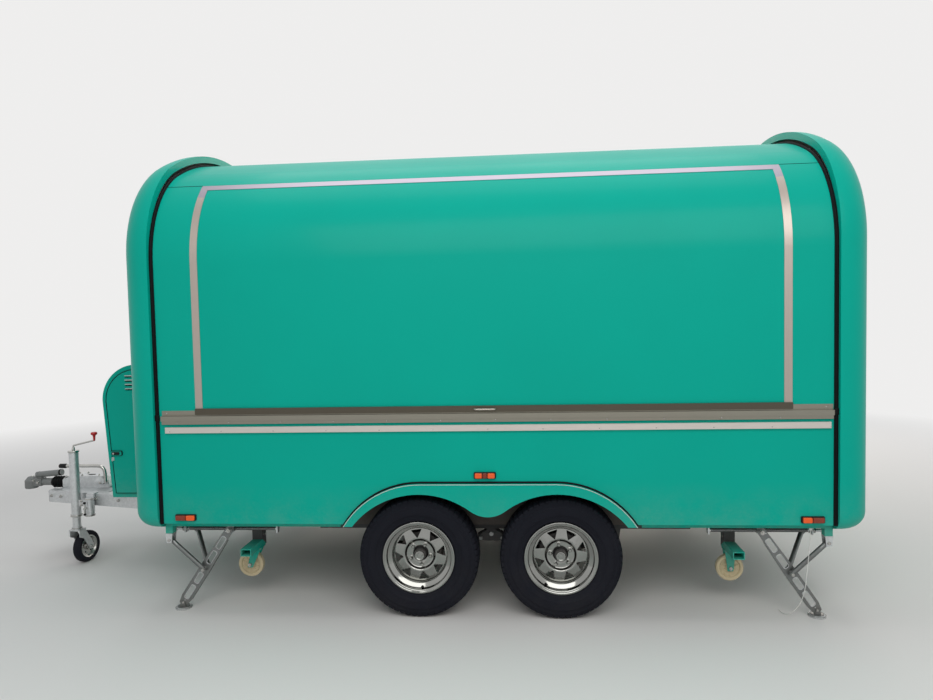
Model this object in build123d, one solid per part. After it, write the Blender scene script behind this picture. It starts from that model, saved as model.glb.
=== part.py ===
from build123d import *
from math import asin, atan2, cos, degrees, hypot, radians, sin, sqrt, tan
import os

# Round-top food trailer on two axles, parked on its tyres, nose wheel and four corner steadies.
# Millimetres. X runs from the coupling (-) to the rear (+), the serving side is -Y and Z is up.
# Places along X are counted from the middle of the body. At the end everything moves by SHIFT,
# so that the origin lies on the floor, under the middle of the overall length.

# Body shell
SEAL_SPAN = 3543        # between the middles of the two rubber seals
SEAL_WIDTH = 20
SEAL_PROUD = 6
BODY_HALF = 1050        # half of the width over the side panels
BODY_TOP = 2636
BODY_BASE = 522
CORNER_RADIUS = 590     # from the side panel into the roof
CORNER_TURN = 64        # degrees of that corner, before the flatter roof arc
SEAM_TURN = 48          # degrees up the corner where side and roof panels meet
WALL = 40
GAP = 5                 # round anything that opens

# End caps
CAP_DEPTH = 180
CAP_PROUD = 28          # beyond the side panels
CAP_RISE = 65           # above the roof
CAP_BASE = 490
CAP_EDGE = 160          # rounding of the end face's rim
CAP_FOOT = 90           # rounding of the lower rim

# Serving hatch
HATCH_FRONT = -1556
HATCH_REAR = 1560
STRIP = 40              # width of the stainless edging
STRIP_SHEET = 2
STRIP_LAP = 12          # how far the edging covers the panel beside it
SEAT = 0.3              # between pieces that lie on each other
RAIL_BASE = 1120
RAIL_HEIGHT = 33
RAIL_DROP = 27          # how far the rail hangs below the hatch panel
RAIL_TOP = RAIL_BASE + RAIL_HEIGHT
HATCH_BASE = RAIL_BASE + RAIL_DROP
RAIL_PROUD = 12
RAIL_LIP = 7
HANDLE_X = 9
HANDLE_LENGTH = 110
HANDLE_REACH = 22
HANDLE_BAR = 5

# Stainless sill and the shelf rail below it, on the serving side
SILL_MID = 6
SILL_LENGTH = 3503
SILL_SLOT = 6           # between the hatch rail and the sill's ledge
SILL_BAND = 27          # height of the sill's proud band
SILL_SKIRT = 19         # height of the strip below that band
SILL_TOP = HATCH_BASE - GAP
SILL_LEDGE = RAIL_BASE - SILL_SLOT
SILL_STEP = SILL_LEDGE - SILL_BAND
SILL_FOOT = SILL_STEP - SILL_SKIRT
SILL_PROUD = 20
SILL_STEP_PROUD = 10
SHELF_MID = 9
SHELF_LENGTH = 3471
SHELF_DROP = 15         # between the sill and the shelf rail
SHELF_HEIGHT = 32
SHELF_TOP = SILL_FOOT - SHELF_DROP
SHELF_BASE = SHELF_TOP - SHELF_HEIGHT
SHELF_PROUD = 14
SHELF_WALL = 3

# Rear door, gas and tool box door
DOOR_WIDTH = 720
DOOR_BASE = 665
DOOR_TOP = 2420
DOOR_CORNER = 60
PANE_WIDTH = 420
PANE_BASE = 1620
PANE_TOP = 2180
PANE_CORNER = 50
PANE_SHEET = 6
HINGE_HEIGHTS = (800, 1540, 2280)
HINGE_OUT = 8           # from the cap's end face to the middle of the knuckles
HINGE_RADIUS = 7.5
HINGE_HALF = 42
HINGE_LEAF = 38
LEVER_Z = 1180
LEVER_IN = 70           # from the door's edge to the lever's spindle
LEVER_LENGTH = 115
LEVER_OUT = 45          # how far the door lever stands out, the rearmost point
LEVER_BAR = 9

# Wheels
TYRE_RADIUS = 325
TYRE_WIDTH = 185
TYRE_SET_IN = 30        # from the side panel to the tyre's outer wall
RIM_FLANGE = 195
RIM_SEAT = 178
RIM_WELL = 153
RIM_SHEET = 4
RIM_HALF = 77
DISC_RADIUS = 149
WINDOWS = 8
WINDOW_APEX = 100
WINDOW_BASE = 140
WINDOW_WIDTH = 56
HUB_BORE = 39
HUB_BARREL = 33
DRUM_RADIUS = 115
DRUM_DEPTH = 60
DRUM_FLANGE = 10
SPINDLE = 20
WHEEL_MID = 13
WHEELBASE = 763

# Double-arch fender
ARCH_RADIUS = 460
ARCH_TOP = 688
ARCH_SPREAD = 364       # from the fender's middle to each arch's centre
TONGUE_BASE = 568       # lowest point between the arches
FENDER_HALF = 773
FENDER_FLAT = 360
FENDER_TOP = 742
FENDER_BASE = 515
FENDER_PROUD = 25
WELL_TOP = 700
WELL_HALF = 791
WELL_DEPTH = 250        # from the side panel to the inner side of the wheel well
WELL_INNER = BODY_HALF - WELL_DEPTH
WELL_SKIRT = 448
WELL_SHEET = 4

# Frame under the floor
FRAME_BASE = 495
FRAME_TOP = 562
FRAME_SET_IN = 42       # from the side panel to the frame's side rail
FRAME_OUTER = BODY_HALF - FRAME_SET_IN
FRAME_RAIL = 50
FRAME_END = 1737
JOIST = 40
SCREW_JOIST = 1183      # joists that also hold the inner ends of the steadies' screws
WELL_JOIST = 413        # from the middle of the wheels to the joists between the wells
DECK = 18
DECK_SET_IN = 125       # from the side panel to the deck's edge inside the end caps
RAIL_SET_IN = 110       # from the wheel well to the main rails that carry the springs
RAIL_Y = WELL_INNER - RAIL_SET_IN
RAIL_WIDTH = 60
RAIL_FOOT = 400
RAIL_FRONT = -990
RAIL_REAR = 1130

# Springs and axles
AXLE_TUBE = 50
SPRING_HALF = 320
SPRING_RISE = 45
SPRING_WIDTH = 45
LEAF = 8
LEAF_HALVES = (320, 250, 180, 110)
EYE_RADIUS = 15
EYE_PIN = 7.7
EYE_BORE = 8
HANGER_PLATE = 6
ROCKER_Z = 372

# Drawbar
BEAM_TIP = -3071
BEAM_END = -1010
BEAM_TIP_Y = 120
BEAM_TURN = 13          # degrees that each beam spreads
BEAM_WIDTH = 60
BEAM_TOP = 480
BEAM_BASE = 400
APEX_TOP = 474
APEX_PLATE = 8

# Overrun coupling
COUPLING_Z = 505
HOUSING_FRONT = -3040
HOUSING_REAR = -2690
HOUSING_HALF = 48
BELLOWS_FRONT = -3134
BELLOWS_RADIUS = 41
BELLOWS_FOLDS = 5
TUBE_RADIUS = 25
BRAKE_IN = 23           # from the housing's rear end forwards to the handbrake's upright
BRAKE_REACH = 332       # from that upright to the end of its grip
BRAKE_GRIP = 54
BALL_X = -3306
NOSE_REACH = 44         # from the ball's centre to the nose
BALL_BORE = 25.2
BALL_DEPTH = 30

# Nose wheel
JOCKEY_X = -2800
JOCKEY_ARM = 100        # from the post back to its clamp on the beam
JOCKEY_OUT = 59.35      # from the beam's middle line there to the post
JOCKEY_TUBE = 30
JOCKEY_INNER = 26
JOCKEY_BASE = 344
JOCKEY_TOP = 778
JOCKEY_FORK_TOP = 262
JOCKEY_WHEEL = 105
JOCKEY_WIDTH = 60
JOCKEY_TRAIL = 80
JOCKEY_TURN = 85        # degrees from the rear towards +Y, as it was left standing

# Gas and tool box on the drawbar
BOX_FRONT = -2535
BOX_REAR = -1990
BOX_HALF = 335
BOX_BASE = 480
BOX_TOP = 1352
BOX_CORNER = 235
BOX_RAKE = 42           # the foot of its front face lies that much to the rear
BOX_SHEET = 4
BOX_MARGIN = 30
BOX_DOOR = 12
LOUVRES = 4
LOUVRE_IN = 165         # from the box's front to the louvres
LOUVRE_LENGTH = 120
LOUVRE_HEIGHT = 10
LOUVRE_PITCH = 28
LOUVRE_DROP = 78        # from the box's top to the uppermost louvre
LATCH_IN = 52           # from the box's front to the latch
LATCH_LENGTH = 75
LATCH_HEIGHT = 26
LATCH_RISE = 295        # from the box's floor to the middle of the latch

# Corner steadies: u is counted outwards from the middle of the body
BRACE_U = 1757
BRACE_Z = 418
KNEE_U = 1596
KNEE_Z = 234
HEAD_U = 1450
HEAD_Z = 449
FOOT_Z = 30
NEAR_IN = 18            # from the frame's outer side to the brace's near eye
BRACE_SPREAD = 255      # between the brace's two eyes
LEG_IN = 58             # from the near eye to the leg
NEAR_Y = FRAME_OUTER - NEAR_IN
FAR_Y = NEAR_Y - BRACE_SPREAD
LEG_Y = NEAR_Y - LEG_IN
LEG_HALF = 31           # from the knee to the foot
LEG_TAPER = 9           # narrower than that at the head, on each side
LEG_SHEET = 4
LEG_FLANGE = 20
PAD_RADIUS = 45
PAD = 8
SCREW_IN = 40           # from the leg to the screw
SCREW_Y = LEG_Y - SCREW_IN
SCREW_RADIUS = 9
SCREW_INNER = SCREW_JOIST - 6
SCREW_OUTER = 1800
KNEE_PIN = 8
ARM_RADIUS = 13
BEND = 34               # each arm leaves its eye straight, as far in u and in z
LUG = 6

# Parking castors
CASTOR_U = {"front": 1350, "rear": 1327}
CASTOR_REACH = {"front": 40, "rear": 0}     # from the tube outwards to the wheel's axle
CASTOR_Z = 205
CASTOR_RADIUS = 73
CASTOR_WIDTH = 35
CASTOR_TUBE = (60, 40)
CASTOR_TUBE_BASE = 307
CASTOR_TUBE_LENGTH = 235
CASTOR_TUBE_OUT = FRAME_OUTER - 58
CASTOR_TUBE_IN = CASTOR_TUBE_OUT - CASTOR_TUBE_LENGTH
CASTOR_IN = 180         # from the tube's outer end to the wheel
CASTOR_Y = CASTOR_TUBE_OUT - CASTOR_IN

# Marker lamps: x of the middle, z of the middle
MARKERS = ((-1634, 558), (1, 785), (1660, 553))
MARKER_SIZE = (117, 22, 35)

# Tail lamps: depth, width and height
TAIL_LAMP = (30, 100, 210)
TAIL_LAMP_BASE = 780
TAIL_LAMP_IN = 180      # from the side panel to the lamp's outer edge

# Worktop inside, along the serving side
COUNTER_TOP = 1060
COUNTER_SHEET = 30
COUNTER_HALF = 1500
COUNTER_DEPTH = 450
COUNTER_LEGS = (-1450, -890, 13, 890, 1450)
COUNTER_LEG = 19
COUNTER_LEG_IN = 40     # from the counter's inner edge to the legs

# Free cord below the rear corner, 4 mm thick: a chosen route of x, y, z
CORD_RADIUS = 2
CORD_ROUTE = (
    (1670, -999, 483), (1667, -1003, 427), (1661, -1005, 370), (1657, -1004, 312),
    (1652, -1001, 254), (1648, -998, 197), (1641, -991, 141), (1629, -979, 89),
    (1609, -961, 46), (1589, -941, 17), (1571, -918, 4), (1563, -886, 3), (1562, -854, 3),
)

SEAL_X = SEAL_SPAN / 2
PANEL_X = SEAL_X - SEAL_WIDTH / 2
CAP_X = SEAL_X + SEAL_WIDTH / 2
CAP_END = CAP_X + CAP_DEPTH
NOSE_X = BALL_X - NOSE_REACH
SHIFT = -(CAP_END + LEVER_OUT + NOSE_X) / 2
JOCKEY_Y = -BEAM_TIP_Y - (JOCKEY_X + JOCKEY_ARM - BEAM_TIP) * tan(radians(BEAM_TURN)) - JOCKEY_OUT
BEHIND = 4000           # longer than anything that a cut has to pass through


def block(x, y, z):
    """A box from three (low, high) pairs."""
    size = [high - low for low, high in (x, y, z)]
    middle = [(high + low) / 2 for low, high in (x, y, z)]
    return Pos(*middle) * Box(*size)


def both_sides(shape):
    """The shape and its mirror image on the other side of the trailer."""
    return shape + mirror(shape, about=Plane.XZ)


def rod(start, end, radius):
    """A straight round bar between two points."""
    run = Vector(*end) - Vector(*start)
    return extrude(Plane(origin=start, z_dir=run) * Circle(radius), run.length)


def pin(x, z, y, radius):
    """A round bar along Y, from y[0] to y[1]."""
    return rod((x, y[0], z), (x, y[1], z), radius)


def side_plate(face, y):
    """A face drawn in x and z, made as thick as from y[0] to y[1]."""
    return extrude(Plane(origin=(0, y[1], 0), x_dir=(1, 0, 0), z_dir=(0, -1, 0)) * face, y[1] - y[0])


def outline(*points):
    return make_face(Polyline(*points, close=True))


def rounded(x, z, radius):
    """A rounded rectangle in x and z from two (low, high) pairs."""
    shape = RectangleRounded(x[1] - x[0], z[1] - z[0], radius)
    return Pos((x[0] + x[1]) / 2, (z[0] + z[1]) / 2) * shape


# Body panels
def arch_face(half, corner, top, base):
    """Cross-section of the body: upright sides, rounded corners and a flat roof arc."""
    reach = (half - corner) / cos(radians(CORNER_TURN))
    roof = corner + reach
    spring = top - roof + reach * sin(radians(CORNER_TURN))
    edges = [
        Line((half, base), (half, spring)),
        CenterArc((half - corner, spring), corner, 0, CORNER_TURN),
        CenterArc((0, top - roof), roof, CORNER_TURN, 180 - 2 * CORNER_TURN),
        CenterArc((corner - half, spring), corner, 180 - CORNER_TURN, CORNER_TURN),
        Line((-half, spring), (-half, base)),
        Line((-half, base), (half, base)),
    ]
    return make_face(edges)


def arch_spring():
    reach = (BODY_HALF - CORNER_RADIUS) / cos(radians(CORNER_TURN))
    return BODY_TOP - CORNER_RADIUS - reach + reach * sin(radians(CORNER_TURN))


def along_body(face, x):
    """A cross-section, drawn in y and z, drawn out from x[0] to x[1]."""
    return extrude(Plane(origin=(x[0], 0, 0), x_dir=(0, 1, 0), z_dir=(1, 0, 0)) * face, x[1] - x[0])


def body_arch(proud, base=BODY_BASE):
    """The body's cross-section, moved outwards all round by proud."""
    return arch_face(BODY_HALF + proud, CORNER_RADIUS + proud, BODY_TOP + proud, base)


def hoop(inner, outer, x):
    """A shell between two offsets of the body's cross-section."""
    return along_body(body_arch(outer) - body_arch(inner, BODY_BASE - 1), x)


def above_seam(turn):
    """Everything that lies higher round the corner than turn degrees, on either side."""
    root = BODY_HALF - CORNER_RADIUS
    spring = arch_spring()
    far = (root + BEHIND * cos(radians(turn)), spring + BEHIND * sin(radians(turn)))
    face = outline((root, spring), far, (-far[0], far[1]), (-root, spring))
    return along_body(face, (-BEHIND, BEHIND))


def arch_gap(base):
    """The double wheel arch as a face in x and z, open down to base."""
    centre = ARCH_TOP - ARCH_RADIUS
    drop = TONGUE_BASE - centre
    tip = (ARCH_SPREAD ** 2 + drop ** 2 - ARCH_RADIUS ** 2) / (2 * (ARCH_RADIUS - drop))
    tip_z = TONGUE_BASE + tip
    share = ARCH_RADIUS / (ARCH_RADIUS + tip)
    meet = (ARCH_SPREAD * (1 - share), centre + (tip_z - centre) * share)
    foot = ARCH_SPREAD + sqrt(ARCH_RADIUS ** 2 - (FENDER_BASE - centre) ** 2)
    edges = [
        ThreePointArc((-foot, FENDER_BASE), (-ARCH_SPREAD, ARCH_TOP), (-meet[0], meet[1])),
        ThreePointArc((-meet[0], meet[1]), (0, TONGUE_BASE), meet),
        ThreePointArc(meet, (ARCH_SPREAD, ARCH_TOP), (foot, FENDER_BASE)),
        Polyline((foot, FENDER_BASE), (foot, base), (-foot, base), (-foot, FENDER_BASE)),
    ]
    return Pos(WHEEL_MID, 0) * make_face(edges)


def fender_hill():
    """Outer outline of the fender, as a face in x and z."""
    run = FENDER_HALF - FENDER_FLAT
    rise = FENDER_TOP - FENDER_BASE
    radius = (run ** 2 + rise ** 2) / (2 * rise)
    half_turn = asin(run / radius) / 2
    bend = (FENDER_FLAT + radius * sin(half_turn), FENDER_TOP - radius * (1 - cos(half_turn)))
    edges = [
        ThreePointArc((-FENDER_HALF, FENDER_BASE), (-bend[0], bend[1]), (-FENDER_FLAT, FENDER_TOP)),
        Line((-FENDER_FLAT, FENDER_TOP), (FENDER_FLAT, FENDER_TOP)),
        ThreePointArc((FENDER_FLAT, FENDER_TOP), bend, (FENDER_HALF, FENDER_BASE)),
        Line((FENDER_HALF, FENDER_BASE), (-FENDER_HALF, FENDER_BASE)),
    ]
    return Pos(WHEEL_MID, 0) * make_face(edges)


def body_panels():
    shell = hoop(-WALL, 0, (-PANEL_X, PANEL_X))
    sides = shell - above_seam(SEAM_TURN)
    sides -= side_plate(arch_gap(FENDER_BASE - WALL), (-BEHIND, BEHIND))
    opening = block((HATCH_FRONT + STRIP_LAP - GAP, HATCH_REAR - STRIP_LAP + GAP),
                    (-BEHIND, 0), (SILL_TOP, BEHIND))
    near = sides & block((-BEHIND, BEHIND), (-BEHIND, 0), (0, BEHIND))
    far = sides & block((-BEHIND, BEHIND), (0, BEHIND), (0, BEHIND))
    return {"wall_serving": near - opening, "wall_back": far, "roof": shell & above_seam(SEAM_TURN)}


def cap_bowl(inset):
    """The cap as a solid, moved inwards by inset: a large rounding round its end, a small one below."""
    face = arch_face(BODY_HALF + CAP_PROUD - inset, CORNER_RADIUS + CAP_PROUD - inset,
                     BODY_TOP + CAP_RISE - inset, CAP_BASE + inset)
    bowl = along_body(face, (CAP_X, CAP_END - inset))
    end_rim = bowl.faces().sort_by(Axis.X)[-1].edges().sort_by(Axis.Z)[1:]
    bowl = fillet(end_rim, CAP_EDGE - inset)
    lower_rim = bowl.faces().sort_by(Axis.Z)[0].edges().sort_by(Axis.X)[1:]
    return fillet(lower_rim, CAP_FOOT - inset)


def end_cap():
    """A hollow cap at the rear."""
    return cap_bowl(0) - cap_bowl(WALL)


def end_panel(width, z, corner, x):
    """A rounded upright panel across the trailer."""
    shape = RectangleRounded(width, z[1] - z[0], corner)
    return along_body(Pos(0, (z[0] + z[1]) / 2) * shape, x)


def rear_door():
    x = (CAP_END - WALL, CAP_END)
    panel = end_panel(DOOR_WIDTH, (DOOR_BASE, DOOR_TOP), DOOR_CORNER, x)
    pane = end_panel(PANE_WIDTH, (PANE_BASE, PANE_TOP), PANE_CORNER, (x[0] - 1, x[1] + 1))
    middle = (x[0] + x[1]) / 2
    glass = end_panel(PANE_WIDTH - 2 * SEAT, (PANE_BASE + SEAT, PANE_TOP - SEAT), PANE_CORNER - SEAT,
                      (middle - PANE_SHEET / 2, middle + PANE_SHEET / 2))
    lever_y = -DOOR_WIDTH / 2 + LEVER_IN
    plate = end_panel(50, (LEVER_Z - 90, LEVER_Z + 60), 12, (CAP_END + SEAT, CAP_END + 6))
    plate = Pos(0, lever_y, 0) * plate
    grip_x = CAP_END + LEVER_OUT - LEVER_BAR
    neck = rod((CAP_END + 6, lever_y, LEVER_Z), (grip_x + 6, lever_y, LEVER_Z), LEVER_BAR)
    grip = rod((grip_x, lever_y - LEVER_BAR, LEVER_Z), (grip_x, lever_y + LEVER_LENGTH, LEVER_Z), LEVER_BAR)
    swing = DOOR_WIDTH / 2 + GAP / 2
    leaf_x = (CAP_END, CAP_END + 4)
    fittings, hinges = plate + neck + grip, Part()
    for z in HINGE_HEIGHTS:
        low, split, high = z - HINGE_HALF, z - SEAT, z + HINGE_HALF
        axis = (CAP_END + HINGE_OUT, swing)
        hinges += rod((*axis, z), (*axis, high), HINGE_RADIUS)
        hinges += block(leaf_x, (swing + GAP / 2, swing + HINGE_LEAF), (z, high))
        fittings += rod((*axis, low), (*axis, split), HINGE_RADIUS)
        fittings += block(leaf_x, (swing - HINGE_LEAF, swing - GAP / 2), (low, split))
        for side, span in ((1, (z, high)), (-1, (low, split))):
            web = sorted((swing + side * 2, swing + side * (GAP / 2 + 6)))
            bridge = block((CAP_END + 1, CAP_END + HINGE_OUT), web, span)
            if side > 0:
                hinges += bridge
            else:
                fittings += bridge
    return {"door_panel": panel - pane, "door_glass": glass, "door_fittings": fittings,
            "door_hinges": hinges}


def end_caps():
    cap = end_cap()
    front = mirror(cap, about=Plane.YZ)
    doorway = end_panel(DOOR_WIDTH + 2 * GAP, (DOOR_BASE - GAP, DOOR_TOP + GAP), DOOR_CORNER + GAP,
                        (CAP_END - 2 * WALL, CAP_END + WALL))
    return {"end_cap_front": front, "end_cap_rear": cap - doorway}


def body_seals():
    seal = hoop(-WALL, SEAL_PROUD, (CAP_X - SEAL_WIDTH, CAP_X))
    return {"body_seals": seal + mirror(seal, about=Plane.YZ)}


# Serving hatch
def hatch_turn():
    """Degrees up the corner where the hatch ends, one gap below the roof panel."""
    return SEAM_TURN - degrees(GAP / CORNER_RADIUS)


def hatch_hinge():
    """y and z of the hatch hinge, on the outer face in the middle of that gap."""
    turn = radians(SEAM_TURN - degrees(GAP / CORNER_RADIUS) / 2)
    root = BODY_HALF - CORNER_RADIUS
    return -(root + CORNER_RADIUS * cos(turn)), arch_spring() + CORNER_RADIUS * sin(turn)


def serving_side(low, high):
    return block((-BEHIND, BEHIND), (-BEHIND, 0), (low, high))


def hatch():
    edges = (HATCH_FRONT + STRIP_LAP, HATCH_REAR - STRIP_LAP)
    shut = above_seam(hatch_turn())
    panel = (hoop(-WALL, 0, edges) - shut) & serving_side(HATCH_BASE, BEHIND)
    sheet = (SEAT, SEAT + STRIP_SHEET)
    strips = [hoop(*sheet, (HATCH_FRONT, HATCH_FRONT + STRIP)),
              hoop(*sheet, (HATCH_REAR - STRIP, HATCH_REAR))]
    lower_turn = hatch_turn() - degrees(STRIP / CORNER_RADIUS)
    strips.append(hoop(*sheet, (HATCH_FRONT, HATCH_REAR)) & above_seam(lower_turn))
    edging = (sum(strips[1:], strips[0]) - shut) & serving_side(HATCH_BASE, BEHIND)
    rail = outline(*[(-BODY_HALF - proud, z) for proud, z in (
        (SEAT, RAIL_TOP), (RAIL_PROUD, RAIL_TOP), (RAIL_PROUD, RAIL_BASE),
        (RAIL_LIP, RAIL_BASE), (RAIL_LIP, HATCH_BASE), (SEAT, HATCH_BASE))])
    edging += along_body(rail, (HATCH_FRONT, HATCH_REAR))
    y = -BODY_HALF - RAIL_PROUD
    z = (RAIL_TOP + RAIL_BASE) / 2
    ends = [(HANDLE_X + side * HANDLE_LENGTH / 2, y + 1, z) for side in (-1, 1)]
    knees = [(x, y - HANDLE_REACH, z) for x, _, z in ends]
    path = FilletPolyline(ends[0], knees[0], knees[1], ends[1], radius=12)
    edging += sweep(Plane(origin=ends[0], z_dir=(0, -1, 0)) * Circle(HANDLE_BAR), path)
    return {"hatch_panel": panel, "hatch_trim": edging}


def sill_and_shelf():
    y = -BODY_HALF
    sill = outline((y, SILL_FOOT), (y - SILL_STEP_PROUD, SILL_FOOT), (y - SILL_STEP_PROUD, SILL_STEP),
                   (y - SILL_PROUD, SILL_STEP), (y - SILL_PROUD, SILL_LEDGE),
                   (y - STRIP_SHEET, SILL_LEDGE), (y - STRIP_SHEET, SILL_TOP), (y, SILL_TOP))
    lip = SHELF_BASE + SHELF_WALL
    shelf = outline((y, SHELF_BASE), (y - SHELF_PROUD, SHELF_BASE), (y - SHELF_PROUD, SHELF_TOP),
                    (y - SHELF_PROUD + SHELF_WALL, SHELF_TOP), (y - SHELF_PROUD + SHELF_WALL, lip),
                    (y - SHELF_WALL, lip), (y - SHELF_WALL, SHELF_TOP), (y, SHELF_TOP))
    ends = [(mid - length / 2, mid + length / 2)
            for mid, length in ((SILL_MID, SILL_LENGTH), (SHELF_MID, SHELF_LENGTH))]
    return {"sill_rail": along_body(sill, ends[0]), "shelf_rail": along_body(shelf, ends[1])}


def side_markers():
    length, depth, height = MARKER_SIZE
    lamps = Part()
    for x, z in MARKERS:
        body = block((x - length / 2, x + length / 2), (-BODY_HALF - depth, -BODY_HALF),
                     (z - height / 2, z + height / 2))
        lamps += fillet(body.faces().sort_by(Axis.Y)[0].edges(), 6)
    return {"side_markers": both_sides(lamps)}


def rear_lights():
    """Upright tail lamps on the rear cap."""
    depth, width, height = TAIL_LAMP
    y = TAIL_LAMP_IN - BODY_HALF
    lamp = block((CAP_END, CAP_END + depth), (y, y + width), (TAIL_LAMP_BASE, TAIL_LAMP_BASE + height))
    lamp = fillet(lamp.faces().sort_by(Axis.X)[-1].edges(), 14)
    return {"tail_lamps": both_sides(lamp)}


# Fenders and wheel wells
def fenders():
    face = fender_hill() - arch_gap(FENDER_BASE - WALL)
    fender = side_plate(face, (-BODY_HALF - FENDER_PROUD, -BODY_HALF))
    ends = (WHEEL_MID - WELL_HALF, WHEEL_MID + WELL_HALF)
    inside = BODY_HALF - WALL
    hull = block(ends, (-inside, -WELL_INNER), (BODY_BASE, WELL_TOP))
    hollow = block((ends[0] + WELL_SHEET, ends[1] - WELL_SHEET), (-inside - 1, -WELL_INNER - WELL_SHEET),
                   (BODY_BASE - 1, WELL_TOP - WELL_SHEET))
    skirt = block(ends, (-WELL_INNER - WELL_SHEET, -WELL_INNER), (WELL_SKIRT, BODY_BASE + 1))
    return {"fenders": both_sides(fender), "wheel_wells": both_sides(hull - hollow + skirt)}


# Road wheels
def ring_profile(points):
    """Turns a profile of (radius, y) points about the Y axis."""
    return revolve(outline(*points), Axis.Y)


def tyre():
    half = TYRE_WIDTH / 2
    bead = RIM_SEAT + SEAT
    right = [
        Line((TYRE_RADIUS, 0), (TYRE_RADIUS - 3, half - 18)),
        ThreePointArc((TYRE_RADIUS - 3, half - 18), (TYRE_RADIUS - 10, half - 8),
                      (TYRE_RADIUS - 27, half - 3)),
        ThreePointArc((TYRE_RADIUS - 27, half - 3), (TYRE_RADIUS - 65, half), (RIM_FLANGE + 8, half - 12)),
        Polyline((RIM_FLANGE + 8, half - 12), (RIM_FLANGE - 2, RIM_HALF - 6), (bead, RIM_HALF - 8),
                 (bead, 0)),
    ]
    upper = make_face(right + [Line((bead, 0), (TYRE_RADIUS, 0))])
    return revolve(upper + mirror(upper, about=Plane.XZ), Axis.Y)


def rim():
    """Pressed steel wheel with eight three-cornered windows, its hub and its brake drum."""
    half = RIM_HALF
    outside = [(RIM_FLANGE, -half), (RIM_FLANGE, 4 - half), (RIM_SEAT, 7 - half), (RIM_SEAT, -48),
               (RIM_WELL, -36), (RIM_WELL, 22), (RIM_SEAT, 40), (RIM_SEAT, half - 7),
               (RIM_FLANGE, half - 4), (RIM_FLANGE, half)]
    inside = [(radius - RIM_SHEET, y) for radius, y in (
        (RIM_FLANGE, half), (RIM_SEAT, half - 3), (RIM_SEAT, 38), (RIM_WELL, 20),
        (RIM_WELL, -34), (RIM_SEAT, -46), (RIM_SEAT, 3 - half), (RIM_FLANGE, -half))]
    barrel = ring_profile(outside + inside)
    disc = ring_profile([(HUB_BORE, -5), (70, -5), (84, -20), (98, -20), (DISC_RADIUS, -11),
                         (DISC_RADIUS, -6), (98, -15), (87, -15), (73, 0), (HUB_BORE, 0)])
    window = fillet(outline((0, WINDOW_APEX), (-WINDOW_WIDTH / 2, WINDOW_BASE),
                            (WINDOW_WIDTH / 2, WINDOW_BASE)).vertices(), 5)
    for step in range(WINDOWS):
        turned = Rot(0, step * 360 / WINDOWS, 0) * side_plate(window, (-40, 10))
        disc -= turned
    hub = ring_profile([(0, -36), (HUB_BARREL - 5, -36), (HUB_BARREL, -30), (HUB_BARREL, 0),
                        (84, 0), (84, DRUM_FLANGE), (DRUM_RADIUS, DRUM_FLANGE),
                        (DRUM_RADIUS, DRUM_FLANGE + DRUM_DEPTH), (SPINDLE + SEAT, DRUM_FLANGE + DRUM_DEPTH),
                        (SPINDLE + SEAT, 5), (0, 5)])
    return barrel + disc + hub


def wheel_places():
    """Name, x and side of the four road wheels."""
    for axle, x in (("front", WHEEL_MID - WHEELBASE / 2), ("rear", WHEEL_MID + WHEELBASE / 2)):
        for side, sign in (("near", 1), ("far", -1)):
            yield f"{axle}_{side}", x, sign


def road_wheels():
    near_y = -BODY_HALF + TYRE_SET_IN + TYRE_WIDTH / 2
    pieces = {}
    for name, x, sign in wheel_places():
        for kind, piece in (("tyre", tyre()), ("rim", rim())):
            placed = Pos(x, near_y, TYRE_RADIUS) * piece
            pieces[f"{kind}_{name}"] = placed if sign > 0 else mirror(placed, about=Plane.XZ)
    return pieces


def axles():
    """Two square axle tubes with backing plates and round stubs."""
    wheel_y = BODY_HALF - TYRE_SET_IN - TYRE_WIDTH / 2
    drum_back = wheel_y - DRUM_FLANGE - DRUM_DEPTH
    tube_end = drum_back - GAP - 4
    half = AXLE_TUBE / 2
    pair = Part()
    for x in (WHEEL_MID - WHEELBASE / 2, WHEEL_MID + WHEELBASE / 2):
        pair += block((x - half, x + half), (-tube_end, tube_end), (TYRE_RADIUS - half, TYRE_RADIUS + half))
        pair += pin(x, TYRE_RADIUS, (-wheel_y + 5 + GAP, wheel_y - 5 - GAP), SPINDLE)
        plate = pin(x, TYRE_RADIUS, (-drum_back + GAP, -drum_back + GAP + 4), DRUM_RADIUS + 3)
        pair += both_sides(plate)
    return {"axles": pair}


def leaf_spring():
    """Four stacked leaves under the axle, curved up to the eyes at both ends."""
    radius = (SPRING_HALF ** 2 + SPRING_RISE ** 2) / (2 * SPRING_RISE)
    top = TYRE_RADIUS - AXLE_TUBE / 2 - 2 * SEAT
    stack = Part()
    for step, half in enumerate(LEAF_HALVES):
        inner = radius + step * LEAF
        turn = asin(half / inner)
        centre = top + radius
        ring = Pos(0, centre) * (Circle(inner + LEAF) - Circle(inner))
        wedge = outline((0, centre), (-BEHIND * sin(turn), centre - BEHIND * cos(turn)),
                        (BEHIND * sin(turn), centre - BEHIND * cos(turn)))
        stack += side_plate(ring & wedge, (-SPRING_WIDTH / 2, SPRING_WIDTH / 2))
    for x in (-SPRING_HALF, SPRING_HALF):
        y = (-SPRING_WIDTH / 2, SPRING_WIDTH / 2)
        stack += pin(x, eye_z(), y, EYE_RADIUS)
    for x in (-SPRING_HALF, SPRING_HALF):
        stack -= pin(x, eye_z(), (-SPRING_WIDTH, SPRING_WIDTH), EYE_BORE)
    return stack


def eye_z():
    return TYRE_RADIUS - AXLE_TUBE / 2 + SPRING_RISE


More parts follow.
